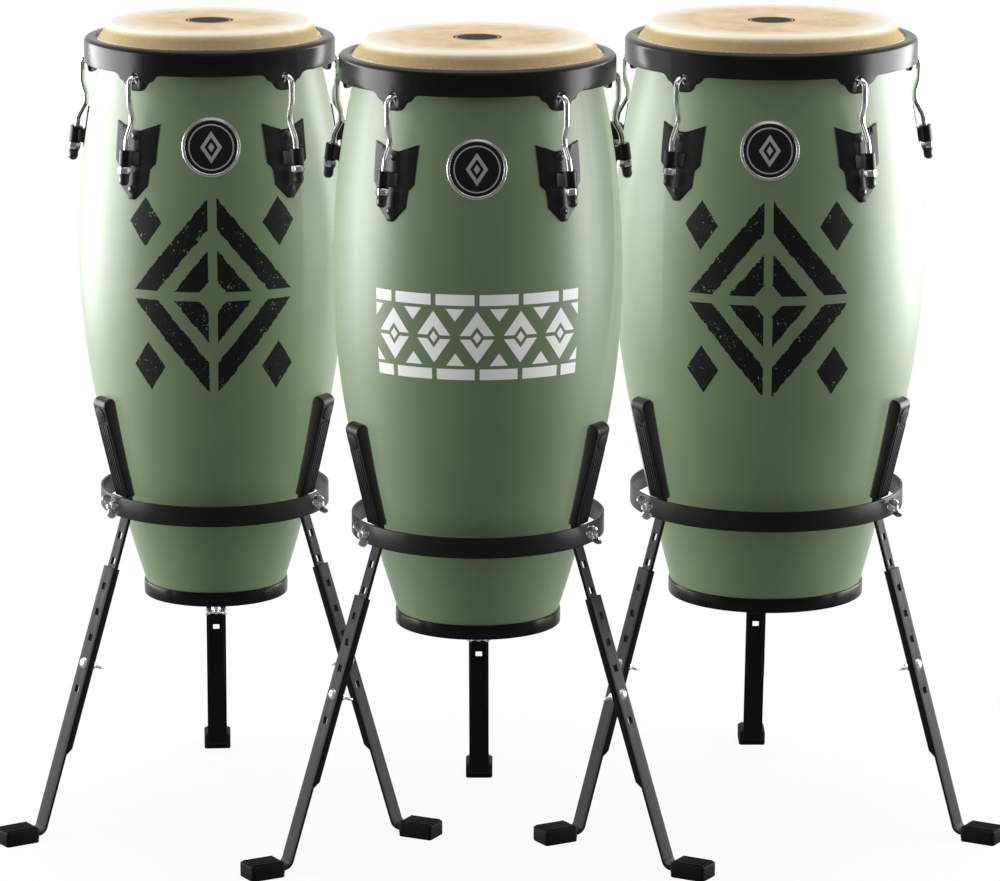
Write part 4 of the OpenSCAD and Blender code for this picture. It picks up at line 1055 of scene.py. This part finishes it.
def buildFoot(name, d, k):
    long, w, h = foot["long"], foot["wide"], foot["high"] - foot["ribH"]
    bm = bmesh.new()
    bmesh.ops.create_cube(bm, size=1.0)
    bmesh.ops.scale(bm, vec=(long, w, h), verts=bm.verts[:])
    bmesh.ops.translate(bm, vec=(long / 2, 0, h / 2), verts=bm.verts[:])
    uprights = [e for e in bm.edges if abs(e.verts[0].co.z - e.verts[1].co.z) > 1]
    bmesh.ops.bevel(bm, geom=uprights, offset=foot["round"], offset_type="OFFSET", segments=5, profile=0.5,
                    affect="EDGES", material=-1, clamp_overlap=True)
    soften(bm, 1.8, 3, 50)
    step = (w - foot["inset"]) / foot["ribs"]
    for i in range(foot["ribs"]):
        rib = bmesh.new()
        bmesh.ops.create_cube(rib, size=1.0)
        ribSize = (long - foot["inset"], step * foot["ribW"], 2 * foot["ribH"])
        bmesh.ops.scale(rib, vec=ribSize, verts=rib.verts[:])
        soften(rib, 0.7, 3, 45)
        added(bm, rib, Matrix.Translation((long / 2, step * (i + 0.5) - (w - foot["inset"]) / 2, h)))
    sleeve = bmesh.new()      # the lip where the leg goes in
    bmesh.ops.create_cube(sleeve, size=1.0)
    deep, wider, taller = foot["lip"]
    bmesh.ops.scale(sleeve, vec=(deep, legW + wider, stand["legT"] + taller), verts=sleeve.verts[:])
    soften(sleeve, 1.0, 2, 45)
    added(bm, sleeve, Matrix.Translation((0.9, 0, stand["legLow"] + stand["legT"] / 2)))
    moveAll(bm, Matrix.Translation((d["footR"] + foot["start"], 0, 0)))
    makePiece(name + "_rubber_foot_" + k, bm, d["stand"] @ facing(legTurns[k]), [rubberBlack],
              name + "_lower_leg_" + k, [name + "_foot_" + k])


buildUpperLegs()
buildPads()
buildRingFasteners()
for name, d in drumSizes.items():
    buildBasketRing(name, d)
    for k in legTurns:
        buildLowerLeg(name, d, k)
        buildLegBolt(name, d, k)
        buildFoot(name, d, k)
print("stands built")

studio = {"floorSize": 60.0, "clear": (0.30, 0.75), "paper": 0.62, "bounce": 0.20, "lift": 0.80,
          "ambient": 0.45, "frontGlow": 0.16, "backGlow": 1.0, "turnover": (-0.35, 0.25), "long": 1.25,
          "mirrored": (0.4, 1.2)}
softboxes = {      # power, size, place, target, whether it throws shadows
    "left_side": (172.0, (3.3, 1.6), (-2.73, 0.55, 0.84), (0.0, 0.0, 0.66), False),
    "right_side": (160.0, (3.0, 1.6), (2.68, 0.75, 0.84), (0.0, 0.0, 0.66), False),
    "over": (20.0, (2.4, 1.6), (0.0, 0.0, 2.8), (0.0, 0.0, 0.5), True),
    "front": (8.0, (2.2, 1.4), (0.2, -3.4, 3.0), (0.0, 0.0, 0.5), True),
}


def buildFloor():
    bm = bmesh.new()
    bmesh.ops.create_grid(bm, x_segments=8, y_segments=8, size=studio["floorSize"] / 2)
    mesh = bpy.data.meshes.new("studio_floor")
    bm.to_mesh(mesh)
    bm.free()
    f = Finish("floor_paper")
    x, y, z = f.parts(f.place())
    # clear white away from the stands
    fade = ((x / studio["long"]) * (x / studio["long"]) + y * y).root().step(*studio["clear"])
    tones = [(t, t, t, 1) for t in (studio["bounce"], studio["paper"])]
    clear = f.ray("Camera").larger(f.ray("Transmission"))
    seen = clear.larger(y.step(*studio["mirrored"]) * f.ray("Glossy"))
    f.wear(Base_Color=f.mix(clear, *tones), Roughness=0.9, Specular_IOR_Level=0.1)
    glow = f.node("ShaderNodeEmission", None, {"Color": (1, 1, 1, 1), "Strength": 1.0})
    share = (studio["lift"] + (1 - studio["lift"]) * fade) * seen
    blend = f.node("ShaderNodeMixShader", None, {0: share, 1: Value(f, f.shader.outputs[0]), 2: glow})
    f.put(f.tree.nodes["Material Output"].inputs["Surface"], blend)
    mesh.materials.append(f.mat)
    floor = bpy.data.objects.new("studio_floor", mesh)
    bpy.context.scene.collection.objects.link(floor)


def lamp(name, power, size, place, target, shadow):
    data = bpy.data.lights.new(name, "AREA")
    data.energy, data.shape, data.size, data.size_y = power, "RECTANGLE", size[0], size[1]
    data.use_shadow = shadow
    made = bpy.data.objects.new(name, data)
    made.location = place
    made.rotation_euler = (Vector(target) - Vector(place)).to_track_quat("-Z", "Y").to_euler()
    bpy.context.scene.collection.objects.link(made)


def buildLight():
    f = Finish("studio_white", bpy.data.worlds.new("studio_white"))
    bpy.context.scene.world = f.mat
    x, y, z = f.parts(f.node("ShaderNodeTexCoord", out="Generated"))
    # the white backdrop shows in the metal from behind, the dimmer room from the front
    glow = studio["frontGlow"] + (studio["backGlow"] - studio["frontGlow"]) * y.step(*studio["turnover"])
    seen = f.ray("Camera").larger(f.ray("Transmission")).larger(f.ray("Glossy") * glow)
    f.wear(Color=(1, 1, 1, 1), Strength=seen.larger(f.ray("Diffuse") * studio["ambient"]))
    for name, settings in softboxes.items():
        lamp(name + "_softbox", *settings)


view = {"place": (0.0, -6.2, 1.8261), "down": 12.353, "focal": 5147.3, "wide": 1000}


def buildCamera():
    data = bpy.data.cameras.new("photo_view")
    data.sensor_width = 36.0
    data.sensor_fit = "HORIZONTAL"
    data.lens = 36.0 * view["focal"] / view["wide"]
    data.clip_start, data.clip_end = 0.1, 100
    made = bpy.data.objects.new("photo_view", data)
    made.location = view["place"]
    made.rotation_euler = (radians(90 - view["down"]), 0, 0)
    bpy.context.scene.collection.objects.link(made)
    bpy.context.scene.camera = made


buildFloor()
buildLight()
buildCamera()
bpy.context.scene.view_settings.view_transform = "Standard"
print("studio set")
